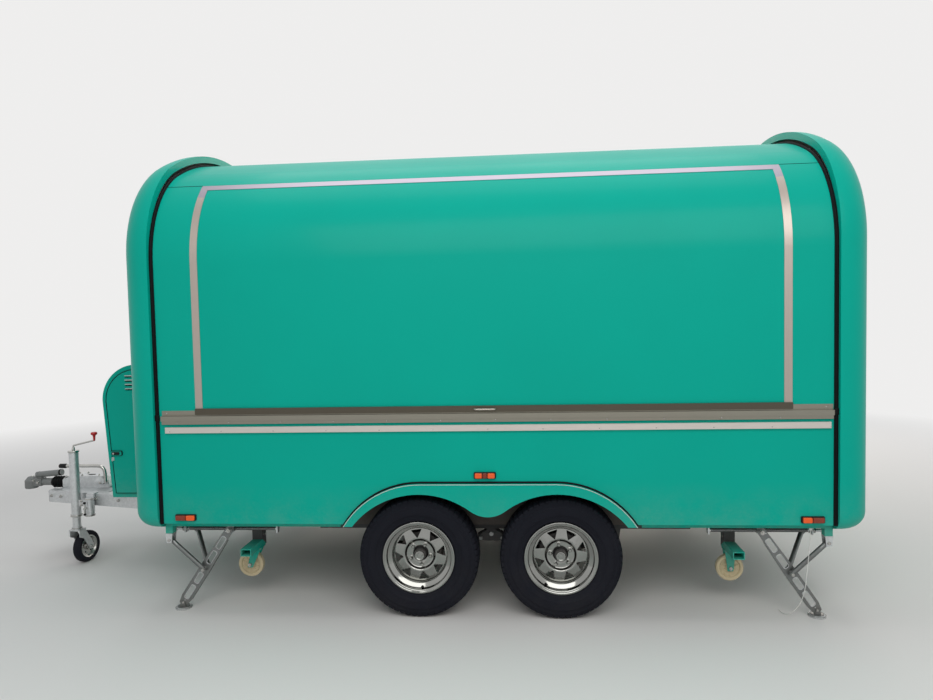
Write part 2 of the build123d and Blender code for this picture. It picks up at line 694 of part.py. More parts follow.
def hanger(x, pin_z, inner, top, width):
    """Two cheeks and the pin between them, open where the spring goes."""
    cheek = outline((x - width, top), (x - 18, pin_z - 16), (x + 18, pin_z - 16), (x + width, top))
    y = (inner, inner + HANGER_PLATE)
    cheeks = side_plate(cheek, y) + side_plate(cheek, (-y[1], -y[0]))
    return cheeks + pin(x, pin_z, (-y[1], y[1]), EYE_PIN)


def suspension():
    springs, hangers = Part(), Part()
    half = WHEELBASE / 2
    for x in (-half, half):
        springs += Pos(x, 0, 0) * leaf_spring()
    ends = half + SPRING_HALF
    inner_y = SPRING_WIDTH / 2 + 1.5
    for x in (-ends, ends):
        hangers += hanger(x, eye_z(), inner_y, RAIL_FOOT, 30)
    hangers += hanger(0, ROCKER_Z, RAIL_WIDTH / 2, RAIL_FOOT + 50, 34)
    span = half - SPRING_HALF
    rocker = outline((-span - 20, eye_z() - 16), (-span - 20, eye_z() + 12), (-24, ROCKER_Z + 20),
                     (24, ROCKER_Z + 20), (span + 20, eye_z() + 12), (span + 20, eye_z() - 16))
    cheek_y = (inner_y, inner_y + HANGER_PLATE - 0.5)
    cheeks = side_plate(rocker, cheek_y) + side_plate(rocker, (-cheek_y[1], -cheek_y[0]))
    cheeks -= pin(0, ROCKER_Z, (-RAIL_WIDTH, RAIL_WIDTH), EYE_BORE)
    for x in (-span, span):
        cheeks += pin(x, eye_z(), (-cheek_y[1], cheek_y[1]), EYE_PIN)
    hangers += cheeks
    at = Pos(WHEEL_MID, -RAIL_Y, 0)
    rail = block((RAIL_FRONT, RAIL_REAR), (-RAIL_Y - RAIL_WIDTH / 2, -RAIL_Y + RAIL_WIDTH / 2),
                 (RAIL_FOOT, FRAME_BASE))
    return {"leaf_springs": both_sides(at * springs), "main_rails": both_sides(rail + at * hangers)}


# Frame, rails and floor
def chassis():
    frame = Part()
    well = (WHEEL_MID - WELL_HALF - 12, WHEEL_MID + WELL_HALF + 12)
    height = (FRAME_BASE, FRAME_TOP)
    outer = (-FRAME_OUTER, FRAME_RAIL - FRAME_OUTER)
    inner = (-WELL_INNER + 10, -WELL_INNER + 10 + JOIST)
    for x in ((-FRAME_END, well[0]), (well[1], FRAME_END)):
        frame += both_sides(block(x, outer, height))
    frame += both_sides(block(well, inner, height))
    wide = -outer[1]
    for x in (-FRAME_END + JOIST / 2, -CASTOR_U["front"], -SCREW_JOIST, well[0] - JOIST / 2,
              well[1] + JOIST / 2, SCREW_JOIST, CASTOR_U["rear"], FRAME_END - JOIST / 2):
        frame += block((x - JOIST / 2, x + JOIST / 2), (-wide, wide), height)
    for x in (WHEEL_MID - WELL_JOIST, WHEEL_MID, WHEEL_MID + WELL_JOIST):
        frame += block((x - JOIST / 2, x + JOIST / 2), (inner[1], -inner[1]), height)
    for x in (-FRAME_END + JOIST / 2, -SCREW_JOIST):
        seat = (-beam_y(x) - 45, -beam_y(x) + 45)
        frame += both_sides(block((x - JOIST / 2, x + JOIST / 2), seat, (BEAM_TOP, FRAME_BASE)))
    deck_y = BODY_HALF - WALL
    deck = block((-PANEL_X, PANEL_X), (-deck_y, deck_y), (FRAME_TOP, FRAME_TOP + DECK))
    end_y = BODY_HALF - DECK_SET_IN
    deck += block((-CAP_END + 90, CAP_END - 90), (-end_y, end_y), (FRAME_TOP, FRAME_TOP + DECK))
    hole = block((WHEEL_MID - WELL_HALF, WHEEL_MID + WELL_HALF), (-deck_y - 1, -WELL_INNER),
                 (FRAME_TOP - 1, FRAME_TOP + DECK + 1))
    return {"chassis_frame": frame, "floor_deck": deck - both_sides(hole)}


def worktop():
    """Stainless counter inside, along the serving side, on five legs."""
    edge = -BODY_HALF + WALL + COUNTER_DEPTH
    low = COUNTER_TOP - COUNTER_SHEET
    counter = block((-COUNTER_HALF, COUNTER_HALF), (-BODY_HALF + WALL, edge), (low, COUNTER_TOP))
    y = edge - COUNTER_LEG_IN
    for x in COUNTER_LEGS:
        counter += rod((x, y, FRAME_TOP + DECK), (x, y, low + 10), COUNTER_LEG)
    return {"worktop": counter}


# Drawbar and coupling
def beam_y(x):
    """Distance of a drawbar beam's middle line from the middle of the trailer."""
    return BEAM_TIP_Y + (x - BEAM_TIP) * tan(radians(BEAM_TURN))


def drawbar():
    half = BEAM_WIDTH / 2 / cos(radians(BEAM_TURN))
    corners = [(x, -beam_y(x) + side * half) for x, side in (
        (BEAM_TIP, -1), (BEAM_END, -1), (BEAM_END, 1), (BEAM_TIP, 1))]
    beam = extrude(Pos(0, 0, BEAM_BASE) * outline(*corners), BEAM_TOP - BEAM_BASE)
    plate = outline(*[(x, side * (beam_y(x) - half - SEAT)) for x, side in (
        (HOUSING_FRONT, -1), (HOUSING_REAR + 60, -1), (HOUSING_REAR + 60, 1), (HOUSING_FRONT, 1))])
    apex = extrude(Pos(0, 0, APEX_TOP - APEX_PLATE) * plate, APEX_PLATE)
    return {"drawbar_beams": Compound([*both_sides(beam).solids(), *apex.solids()])}


def coupling():
    base = APEX_TOP
    z = COUPLING_Z
    side = fillet(outline((HOUSING_FRONT, base), (HOUSING_FRONT, z + 26), (HOUSING_FRONT + 60, z + 50),
                          (HOUSING_REAR - 30, z + 50), (HOUSING_REAR, base)).vertices(), 8)
    housing = side_plate(side, (-HOUSING_HALF, HOUSING_HALF))
    hole = rod((HOUSING_FRONT - 1, 0, z), (HOUSING_FRONT + 120, 0, z), TUBE_RADIUS + SEAT)
    fold = (HOUSING_FRONT - BELLOWS_FRONT) / BELLOWS_FOLDS
    profile = [(BELLOWS_FRONT, TUBE_RADIUS + SEAT)]
    for step in range(BELLOWS_FOLDS):
        x = BELLOWS_FRONT + step * fold
        profile += [(x, BELLOWS_RADIUS - 9), (x + fold / 2, BELLOWS_RADIUS)]
    profile += [(HOUSING_FRONT, BELLOWS_RADIUS - 9), (HOUSING_FRONT, TUBE_RADIUS + SEAT)]
    bellows = revolve(outline(*profile), Axis.X)
    bellows = Pos(0, 0, z) * bellows
    tube = rod((BALL_X + 30, 0, z), (HOUSING_FRONT + 110, 0, z), TUBE_RADIUS)
    cup = revolve(fillet(outline((0, z - 45), (NOSE_REACH, z - 45), (NOSE_REACH, z + 12),
                                 (22, z + 38), (0, z + 38)).vertices().sort_by(Axis.X)[2:], 8), Axis.Y)
    cup = Pos(BALL_X, 0, 0) * (Rot(90, 0, 0) * cup)
    neck = block((BALL_X + 10, BALL_X + 90), (-30, 30), (z - 26, z + 26))
    socket = rod((BALL_X, 0, z - 50), (BALL_X, 0, z - 45 + BALL_DEPTH), BALL_BORE)
    dome = Pos(BALL_X, 0, z - 45 + BALL_DEPTH) * Sphere(BALL_BORE)
    grip = rod((BALL_X + 43, 0, z + 50), (BALL_X + 235, 0, z + 68), 21)
    post = block((BALL_X + 52, BALL_X + 84), (-14, 14), (z + 20, z + 62))
    head = tube + cup + neck + post + grip - socket - dome
    return {"coupling_housing": housing - hole, "coupling_bellows": bellows, "coupling_head": head}


def handbrake():
    z = COUPLING_Z + 126
    x = HOUSING_REAR - BRAKE_IN
    y = -HOUSING_HALF - 16
    low = APEX_TOP + 34
    end = x - BRAKE_REACH
    path = FilletPolyline((x, y, low), (x, y, z), (end + BRAKE_GRIP - 6, y, z), radius=60)
    bar = sweep(Plane(origin=path @ 0, z_dir=path % 0) * Circle(12), path)
    bar += rod((end, y, z), (end + BRAKE_GRIP, y, z), 17)
    bar += pin(x - 34, low + 4, (y - 14, -HOUSING_HALF - SEAT), 13)
    bar += side_plate(rounded((x - 46, x + 12), (low - 8, low + 16), 8), (y - 6, y + 6))
    return {"handbrake_lever": bar}


# Nose wheel
def jockey_side(x, y):
    """A point beside the nose wheel's post, x back along its trail and y to its left."""
    turn = radians(JOCKEY_TURN)
    return JOCKEY_X + x * cos(turn) - y * sin(turn), JOCKEY_Y + x * sin(turn) + y * cos(turn)


def jockey():
    at = Pos(JOCKEY_X, JOCKEY_Y, 0)
    up = (0, 0, 1)
    tube = at * revolve(outline(
        (JOCKEY_INNER + SEAT, JOCKEY_BASE - 10), (JOCKEY_TUBE + 5, JOCKEY_BASE - 10),
        (JOCKEY_TUBE + 5, JOCKEY_BASE), (JOCKEY_TUBE, JOCKEY_BASE), (JOCKEY_TUBE, JOCKEY_TOP - 12),
        (JOCKEY_TUBE + 4, JOCKEY_TOP - 12), (JOCKEY_TUBE + 4, JOCKEY_TOP), (0, JOCKEY_TOP),
        (0, JOCKEY_TOP - 14), (JOCKEY_INNER + SEAT, JOCKEY_TOP - 14)), Axis.Y)
    tube = at * (Rot(90, 0, 0) * (at.inverse() * tube))
    clamp_x = JOCKEY_X + JOCKEY_ARM
    side = -beam_y(clamp_x) - BEAM_WIDTH / 2 / cos(radians(BEAM_TURN))
    clamp = rod((clamp_x, side - 34, RAIL_FOOT - 62), (clamp_x, side - 34, BEAM_TOP - 20), 29)
    bridge = block((JOCKEY_X + 10, clamp_x), (JOCKEY_Y - 12, JOCKEY_Y + 12), (BEAM_BASE + 4, BEAM_TOP - 34))
    tube += clamp + bridge - rod((JOCKEY_X, JOCKEY_Y, 0), (JOCKEY_X, JOCKEY_Y, JOCKEY_TOP - 14),
                                 JOCKEY_INNER + SEAT)
    seat = outline((clamp_x - 26, side - 20), (clamp_x - 26, -beam_y(clamp_x - 26)),
                   (clamp_x + 26, -beam_y(clamp_x + 26)), (clamp_x + 26, side - 20))
    tube += extrude(Pos(0, 0, BEAM_TOP) * seat, 5)
    tube += block((clamp_x - 26, clamp_x + 26), (side - 30, side - 8), (BEAM_TOP - 30, BEAM_TOP + 5))
    crank_z = JOCKEY_TOP + 30
    reach = 150
    crank = rod((JOCKEY_X, JOCKEY_Y, JOCKEY_TOP + SEAT), (JOCKEY_X, JOCKEY_Y, crank_z + 8), 10)
    crank += rod((JOCKEY_X, JOCKEY_Y, crank_z), (JOCKEY_X + reach, JOCKEY_Y, crank_z + 38), 6)
    knob = outline((0, 0), (7, 0), (9, 14), (17, 30), (20, 44), (14, 56), (0, 58))
    knob = Rot(90, 0, 0) * revolve(knob, Axis.Y)
    crank += Pos(JOCKEY_X + reach, JOCKEY_Y, crank_z + 34) * knob
    leg = rod((JOCKEY_X, JOCKEY_Y, JOCKEY_FORK_TOP + SEAT), (JOCKEY_X, JOCKEY_Y, JOCKEY_TOP - 90),
              JOCKEY_INNER)
    turn = Location((JOCKEY_X, JOCKEY_Y, 0), (0, 0, JOCKEY_TURN))
    arm = outline((-26, 196), (-26, JOCKEY_FORK_TOP - 20), (26, JOCKEY_FORK_TOP - 20), (58, 190),
                  (JOCKEY_TRAIL + 20, JOCKEY_WHEEL + 14), (JOCKEY_TRAIL + 14, JOCKEY_WHEEL - 18),
                  (JOCKEY_TRAIL - 16, JOCKEY_WHEEL - 14), (10, 180))
    cheek = JOCKEY_WIDTH / 2 + GAP
    fork = side_plate(arm, (cheek, cheek + 5)) + side_plate(arm, (-cheek - 5, -cheek))
    fork += rod((0, 0, JOCKEY_FORK_TOP - 20), (0, 0, JOCKEY_FORK_TOP), 30)
    fork += block((-30, 34), (-cheek - 5, cheek + 5), (JOCKEY_FORK_TOP - 24, JOCKEY_FORK_TOP - 16))
    fork += pin(JOCKEY_TRAIL, JOCKEY_WHEEL, (-cheek - 12, cheek + 12), 8)
    half = JOCKEY_WIDTH / 2
    tread = JOCKEY_WHEEL
    rubber = ring_profile([(tread - 30, -half + 8), (tread - 8, -half), (tread, -half + 12),
                           (tread, half - 12), (tread - 8, half), (tread - 30, half - 8)])
    bowl = ring_profile([(8.3, -half + 4), (22, -half + 4), (24, -8), (tread - 44, -8),
                         (tread - 34, -half + 6), (tread - 30 - SEAT, -half + 6),
                         (tread - 30 - SEAT, half - 6), (tread - 34, half - 6), (tread - 44, 8),
                         (24, 8), (22, half - 4), (8.3, half - 4)])
    axle = Pos(JOCKEY_TRAIL, 0, JOCKEY_WHEEL)
    return {"jockey_tube": tube, "jockey_crank": crank, "jockey_leg": leg, "jockey_fork": turn * fork,
            "jockey_wheel": turn * (axle * (rubber + bowl))}


# Gas and tool box
def box_face(inset):
    """Side outline of the box, moved inwards by inset, with its large front corner."""
    front, rear = BOX_FRONT + inset, BOX_REAR - inset
    base, top = BOX_BASE + inset, BOX_TOP - inset
    corner = BOX_CORNER - inset
    bend = corner * (1 - cos(radians(45)))
    edges = [
        Line((front + BOX_RAKE, base), (front, top - corner)),
        ThreePointArc((front, top - corner), (front + bend, top - bend), (front + corner, top)),
        Polyline((front + corner, top), (rear, top), (rear, base), (front + BOX_RAKE, base)),
    ]
    return make_face(edges)


def gas_box():
    shell = side_plate(box_face(0), (-BOX_HALF, BOX_HALF))
    shell -= side_plate(box_face(BOX_SHEET), (BOX_SHEET - BOX_HALF, BOX_HALF - BOX_SHEET))
    shell -= side_plate(box_face(BOX_MARGIN + 14), (-BOX_HALF - 1, -BOX_HALF + BOX_SHEET + 1))
    door_y = (-BOX_HALF - SEAT - BOX_DOOR, -BOX_HALF - SEAT)
    door = side_plate(box_face(BOX_MARGIN), door_y)
    slot_x = (BOX_FRONT + LOUVRE_IN, BOX_FRONT + LOUVRE_IN + LOUVRE_LENGTH)
    through = (door_y[0] - 1, door_y[1] + 1)
    for step in range(LOUVRES):
        z = BOX_TOP - LOUVRE_DROP - step * LOUVRE_PITCH
        slot = rounded(slot_x, (z - LOUVRE_HEIGHT / 2, z + LOUVRE_HEIGHT / 2), LOUVRE_HEIGHT / 2 - 0.5)
        door -= side_plate(slot, through)
    latch_x = (BOX_FRONT + LATCH_IN, BOX_FRONT + LATCH_IN + LATCH_LENGTH)
    middle = BOX_BASE + LATCH_RISE
    latch = rounded(latch_x, (middle - LATCH_HEIGHT / 2, middle + LATCH_HEIGHT / 2), 8)
    latch = side_plate(latch, (door_y[0] - 14, door_y[0]))
    return {"gas_box": shell, "box_door": door + latch}


# Corner steadies
def steady_angles():
    """Slopes of the brace and of the leg below the horizontal, and their lengths to the knee."""
    brace = (degrees(atan2(BRACE_Z - KNEE_Z, BRACE_U - KNEE_U)), hypot(BRACE_Z - KNEE_Z, BRACE_U - KNEE_U))
    leg = (degrees(atan2(HEAD_Z - KNEE_Z, KNEE_U - HEAD_U)), hypot(HEAD_Z - KNEE_Z, KNEE_U - HEAD_U))
    return brace, leg


def steady_leg():
    """Pressed channel from the screw nut's head past the knee to its foot, with four windows."""
    (_, _), (slope, to_knee) = steady_angles()
    foot = (HEAD_Z - FOOT_Z) / sin(radians(slope))
    half = LEG_HALF
    head = half - LEG_TAPER
    web = outline((-15, 2 - head), (0, -head), (to_knee, -half), (foot - 40, -half), (foot + 8, -half + 10),
                  (foot + 8, half - 10), (foot - 40, half), (to_knee, half), (0, head), (-15, head - 2))
    web = fillet(web.vertices().sort_by(Axis.X)[:2] + web.vertices().sort_by(Axis.X)[-2:], 8)
    for start, end in ((45, 125), (145, to_knee - 32), (to_knee + 34, to_knee + 104),
                       (to_knee + 122, foot - 34)):
        web -= rounded((start, end), (-14, 14), 11)
    narrow = head + 60 * LEG_TAPER / to_knee
    flange = outline((60, narrow - LEG_SHEET), (to_knee, half - LEG_SHEET), (foot - 40, half - LEG_SHEET),
                     (foot - 40, half), (to_knee, half), (60, narrow))
    rim_plate = flange + mirror(flange, about=Plane.XZ)
    channel = side_plate(web, (0, LEG_SHEET)) + side_plate(rim_plate, (0, LEG_FLANGE + LEG_SHEET))
    channel -= pin(to_knee, 0, (-LEG_FLANGE, LEG_FLANGE), KNEE_PIN + SEAT)
    channel += pin(0, 0, (0, LEG_SHEET + 14), 10)
    channel = Location((HEAD_U, -LEG_Y, HEAD_Z), (0, 1, 0), slope) * channel
    foot_u = HEAD_U + foot * cos(radians(slope))
    middle = -LEG_Y + LEG_FLANGE / 2
    pad = Pos(foot_u, middle, PAD / 2) * Cylinder(PAD_RADIUS, PAD)
    pad += rod((foot_u, middle, PAD), (foot_u, middle, PAD + 6), PAD_RADIUS - 12)
    ear = outline((foot_u - 18, PAD), (foot_u + 18, PAD), (foot_u + 10, FOOT_Z + 12),
                  (foot_u - 10, FOOT_Z + 12))
    front, back = -LEG_Y - SEAT, -LEG_Y + LEG_SHEET + SEAT
    pad += side_plate(ear, (front - 5, front)) + side_plate(ear, (back, back + 5))
    return Compound([*channel.solids(), *pad.solids()])


def steady_brace():
    """V-shaped stay: a near and a far arm, from two eyes down to the pin at the knee."""
    front = -LEG_Y - ARM_RADIUS - GAP
    back = -LEG_Y + LEG_FLANGE + LEG_SHEET + ARM_RADIUS + GAP
    brace = pin(KNEE_U, KNEE_Z, (front - 10, back + 10), KNEE_PIN)
    for y_top, y_low in ((-NEAR_Y, front), (-FAR_Y, back)):
        brace += pin(BRACE_U, BRACE_Z, (y_top - 8, y_top + 8), 16)
        brace += pin(KNEE_U, KNEE_Z, (y_low - 6, y_low + 6), 15)
        eye = (BRACE_U - 11, y_top, BRACE_Z - 11)
        bend = (BRACE_U - BEND, y_top, BRACE_Z - BEND)
        path = FilletPolyline(eye, bend, (KNEE_U + 5, y_low, KNEE_Z + 5), radius=25)
        brace += sweep(Plane(origin=path @ 0, z_dir=path % 0) * Circle(ARM_RADIUS), path)
        brace -= pin(BRACE_U, BRACE_Z, (y_top - 20, y_top + 20), EYE_BORE)
    return brace


def steady_frame():
    """Corner post and brackets that carry a steady, with its screw and nut."""
    pieces = []
    inside = ARM_RADIUS + GAP
    outside = inside + LUG
    post_y = (-FRAME_OUTER, JOIST - FRAME_OUTER)
    post = block((FRAME_END, FRAME_END + JOIST), post_y, (BRACE_Z + 37, FRAME_TOP))
    for y, top, plate in ((-NEAR_Y, BRACE_Z + 37, (FRAME_END, FRAME_END + JOIST)),
                          (-FAR_Y, FRAME_BASE, (FRAME_END - JOIST, FRAME_END + JOIST))):
        lug = outline((BRACE_U - 20, top), (BRACE_U - 14, BRACE_Z - 16), (BRACE_U + 14, BRACE_Z - 16),
                      (BRACE_U + 20, top))
        bracket = block(plate, (y - outside, y + outside), (top - LUG, top))
        for low in (y - outside, y + inside):
            bracket += side_plate(lug, (low, low + LUG))
        bracket += pin(BRACE_U, BRACE_Z, (y - outside, y + outside), EYE_PIN)
        pieces.append(bracket)
    pieces[0] += post
    screw = rod((SCREW_INNER, -SCREW_Y, HEAD_Z), (SCREW_OUTER, -SCREW_Y, HEAD_Z), SCREW_RADIUS)
    screw += block((HEAD_U - 16, HEAD_U + 16), (-SCREW_Y - 11, -SCREW_Y + 11), (HEAD_Z - 16, HEAD_Z + 16))
    screw += rod((SCREW_OUTER - 30, -SCREW_Y, HEAD_Z), (SCREW_OUTER, -SCREW_Y, HEAD_Z), SCREW_RADIUS + 5)
    pieces.append(screw)
    for u in (SCREW_JOIST, FRAME_END - JOIST / 2):
        plate = block((u - 4, u + 4), (-SCREW_Y - 16, -SCREW_Y + 16), (HEAD_Z - 20, FRAME_BASE))
        plate -= rod((u - 9, -SCREW_Y, HEAD_Z), (u + 9, -SCREW_Y, HEAD_Z), SCREW_RADIUS + SEAT)
        pieces.append(plate)
    return sum(pieces[1:], pieces[0])


def castor_frame(end):
    """Post and stub tube under the frame, with the two fork plates and the axle of a castor."""
    width, height = CASTOR_TUBE
    middle = CASTOR_U[end]
    axle = middle + CASTOR_REACH[end]
    u = (middle - width / 2, middle + width / 2)
    tube_top = CASTOR_TUBE_BASE + height
    tube = block(u, (-CASTOR_TUBE_OUT, -CASTOR_TUBE_IN), (CASTOR_TUBE_BASE, tube_top))
    tube -= block((u[0] + 4, u[1] - 4), (-CASTOR_TUBE_OUT - 1, -CASTOR_TUBE_IN + 1),
                  (CASTOR_TUBE_BASE + 4, tube_top - 4))
    frame = tube + block(u, (-CASTOR_TUBE_IN - width, -CASTOR_TUBE_IN), (tube_top, FRAME_BASE))
    cheek = outline((middle - 30, CASTOR_TUBE_BASE), (axle - 15, CASTOR_Z - 16),
                    (axle + 15, CASTOR_Z - 16), (middle + 30, CASTOR_TUBE_BASE))
    gap = CASTOR_WIDTH / 2 + GAP
    for low in (-CASTOR_Y - gap - 5, -CASTOR_Y + gap):
        frame += side_plate(cheek, (low, low + 5))
    return frame + pin(axle, CASTOR_Z, (-CASTOR_Y - gap - 10, -CASTOR_Y + gap + 10), 8)


def castor_wheel(end):
    half = CASTOR_WIDTH / 2
    radius = CASTOR_RADIUS
    wheel = ring_profile([(8.3, -half), (24, -half), (28, -7), (radius - 22, -7), (radius - 16, -half),
                          (radius - 4, -half), (radius, -half + 4), (radius, half - 4), (radius - 4, half),
                          (radius - 16, half), (radius - 22, 7), (28, 7), (24, half), (8.3, half)])
    return Pos(CASTOR_U[end] + CASTOR_REACH[end], -CASTOR_Y, CASTOR_Z) * wheel


def corners():
    """End, side and the mirrorings of the four corners: the shapes are drawn at the near rear one."""
    for end, swap_x in (("front", True), ("rear", False)):
        for side, swap_y in (("near", False), ("far", True)):
            yield end, side, swap_x, swap_y


def at_corner(shape, swap_x, swap_y):
    if swap_x:
        shape = mirror(shape, about=Plane.YZ)
    if swap_y:
        shape = mirror(shape, about=Plane.XZ)
    return shape


def corner_gear():
    brace, leg, frame = steady_brace(), steady_leg(), steady_frame()
    pieces = {}
    steady_frames, castor_frames = [], []
    for end, side, swap_x, swap_y in corners():
        for kind, shape in (("steady_brace", brace), ("steady_leg", leg),
                            ("castor_wheel", castor_wheel(end))):
            pieces[f"{kind}_{end}_{side}"] = at_corner(shape, swap_x, swap_y)
        steady_frames.append(at_corner(frame, swap_x, swap_y))
        castor_frames.append(at_corner(castor_frame(end), swap_x, swap_y))
    pieces["steady_frames"] = sum(steady_frames[1:], steady_frames[0])
    pieces["castor_frames"] = sum(castor_frames[1:], castor_frames[0])
    return pieces


# Free cord
def cord():
    """A thin cord that hangs from its gland and ends on the floor."""
    points = [Vector(*point) for point in CORD_ROUTE]
    runs = [b - a for a, b in zip(points, points[1:])]
    radii = []
    for before, after in zip(runs, runs[1:]):
        turn = radians(before.get_angle(after))
        radii.append(0.45 * min(before.length, after.length) / tan(turn / 2))
    path = FilletPolyline(*points, radius=radii)
    tube = sweep(Plane(origin=path @ 0, z_dir=path % 0) * Circle(CORD_RADIUS), path)
    print("cord radii", [round(radius) for radius in radii], "runs", [round(run.length) for run in runs])
    print("cord length", round(path.length), "volume ratio",
          round(tube.volume / (path.length * 3.14159265 * CORD_RADIUS ** 2), 4))
    x, y, z = CORD_ROUTE[0]
    gland = rod((x, y, z + SEAT), (x, y, FRAME_BASE), 8)
    return {"cord": tube, "cord_gland": gland}


def main():
    os.makedirs("parts", exist_ok=True)
    groups = (body_panels, end_caps, rear_door, body_seals, hatch, sill_and_shelf, side_markers,
              rear_lights, fenders, road_wheels, axles, suspension, chassis, worktop, drawbar,
              coupling, handbrake, jockey, gas_box, corner_gear, cord)
    for group in groups:
        for name, piece in group().items():
            export_step(Pos(SHIFT, 0, 0) * piece, f"parts/{name}.step")


main()
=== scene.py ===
import math

import bmesh
import bpy
from mathutils import Matrix, Vector


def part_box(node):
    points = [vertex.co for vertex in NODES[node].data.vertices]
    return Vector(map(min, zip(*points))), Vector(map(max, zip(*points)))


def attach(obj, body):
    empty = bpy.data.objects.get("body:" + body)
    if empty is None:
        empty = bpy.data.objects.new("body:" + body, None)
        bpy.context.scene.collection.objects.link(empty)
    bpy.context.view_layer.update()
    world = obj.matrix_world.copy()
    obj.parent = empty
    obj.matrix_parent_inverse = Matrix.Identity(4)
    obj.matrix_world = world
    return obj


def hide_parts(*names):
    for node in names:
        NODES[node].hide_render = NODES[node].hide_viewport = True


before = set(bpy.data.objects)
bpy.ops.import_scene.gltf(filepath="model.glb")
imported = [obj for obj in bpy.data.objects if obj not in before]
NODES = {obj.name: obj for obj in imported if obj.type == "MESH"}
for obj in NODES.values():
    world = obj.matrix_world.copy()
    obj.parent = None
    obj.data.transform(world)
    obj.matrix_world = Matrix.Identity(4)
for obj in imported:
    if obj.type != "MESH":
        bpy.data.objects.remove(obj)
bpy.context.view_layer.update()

# The pieces are drawn in millimetres, counted along X from the middle of the body, as the part is.
# Piece.done() turns them into metres in the frame. Shaders, lamps and the floor are in metres.
MM = 0.001
seal_low, seal_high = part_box("body_seals")
BODY_MIDDLE = (seal_low.x + seal_high.x) / 2
X, Y, Z = Vector((1, 0, 0)), Vector((0, 1, 0)), Vector((0, 0, 1))

HALF_WIDTH = 1050
CAP_END = 1961.5
CAP_RING = 1783
SEAL_X = 1771.5
WHEEL_RADIUS = 325
WHEEL_Y = 927.5
AXLES_X = (-368.5, 394.5)
AXLES_MIDDLE = sum(AXLES_X) / 2
WHEELS = tuple((f"{end}_{word}", x, side) for end, x in zip(("front", "rear"), AXLES_X)
               for word, side in (("near", -1), ("far", 1)))
CORNERS = tuple((f"{end}_{word}", sign, side) for end, sign in (("front", -1), ("rear", 1))
                for word, side in (("near", -1), ("far", 1)))


def spot(x, y, z):
    """A point in the frame, in metres."""
    return Vector((BODY_MIDDLE + x * MM, y * MM, z * MM))


def new_object(name, data):
    made = bpy.data.objects.new(name, data)
    bpy.context.scene.collection.objects.link(made)
    return made


# Shader groups
def new_group(name, inputs, outputs):
    group = bpy.data.node_groups.new(name, "ShaderNodeTree")
    for label, kind, value in inputs:
        socket = group.interface.new_socket(label, in_out="INPUT", socket_type=kind)
        if value is not None:
            socket.default_value = value
    for label, kind in outputs:
        group.interface.new_socket(label, in_out="OUTPUT", socket_type=kind)
    tree = Tree(group)
    return group, tree, tree.add("NodeGroupInput"), tree.add("NodeGroupOutput")


class Tree:
    """Short ways to add and join shader nodes."""

    def __init__(self, tree):
        self.tree = tree

    def add(self, kind, **settings):
        node = self.tree.nodes.new(kind)
        for key, value in settings.items():
            setattr(node, key, value)
        return node

    def join(self, source, target):
        self.tree.links.new(source, target)

    def set(self, socket, value):
        if isinstance(value, bpy.types.NodeSocket):
            self.join(value, socket)
        else:
            socket.default_value = value

    def math(self, operation, a, b=0.0, clamp=False):
        node = self.add("ShaderNodeMath", operation=operation, use_clamp=clamp)
        self.set(node.inputs[0], a)
        self.set(node.inputs[1], b)
        return node.outputs[0]

    def mix(self, factor, a, b):
        node = self.add("ShaderNodeMix", data_type="RGBA")
        self.set(node.inputs["Factor"], factor)
        self.set(node.inputs[6], a)
        self.set(node.inputs[7], b)
        return node.outputs[2]

    def blend(self, factor, a, b):
        node = self.add("ShaderNodeMix", data_type="FLOAT")
        self.set(node.inputs[0], factor)
        self.set(node.inputs[2], a)
        self.set(node.inputs[3], b)
        return node.outputs[0]

    def ramp(self, value, low, high):
        """0 below low, 1 above high."""
        node = self.add("ShaderNodeMapRange", clamp=True)
        for socket, entry in zip(node.inputs, (value, low, high, 0.0, 1.0)):
            self.set(socket, entry)
        return node.outputs[0]

    def noise(self, vector, scale, detail=3.0, roughness=0.5):
        node = self.add("ShaderNodeTexNoise")
        self.join(vector, node.inputs["Vector"])
        self.set(node.inputs["Scale"], scale)
        self.set(node.inputs["Detail"], detail)
        self.set(node.inputs["Roughness"], roughness)
        return node.outputs["Fac"]

    def place(self):
        return self.add("ShaderNodeTexCoord").outputs["Object"]

    def seen(self):
        """1 for a ray from the camera, from a mirror or through glass."""
        path = self.add("ShaderNodeLightPath").outputs
        shown = self.math("MAXIMUM", path["Is Camera Ray"], path["Is Glossy Ray"])
        return self.math("MAXIMUM", shown, path["Is Transmission Ray"])

    def stretched(self, scale):
        node = self.add("ShaderNodeMapping")
        self.join(self.place(), node.inputs["Vector"])
        node.inputs["Scale"].default_value = scale
        return node.outputs["Vector"]

    def group(self, group, **values):
        node = self.add("ShaderNodeGroup", node_tree=group)
        for key, value in values.items():
            self.set(node.inputs[key.replace("_", " ")], value)
        return node


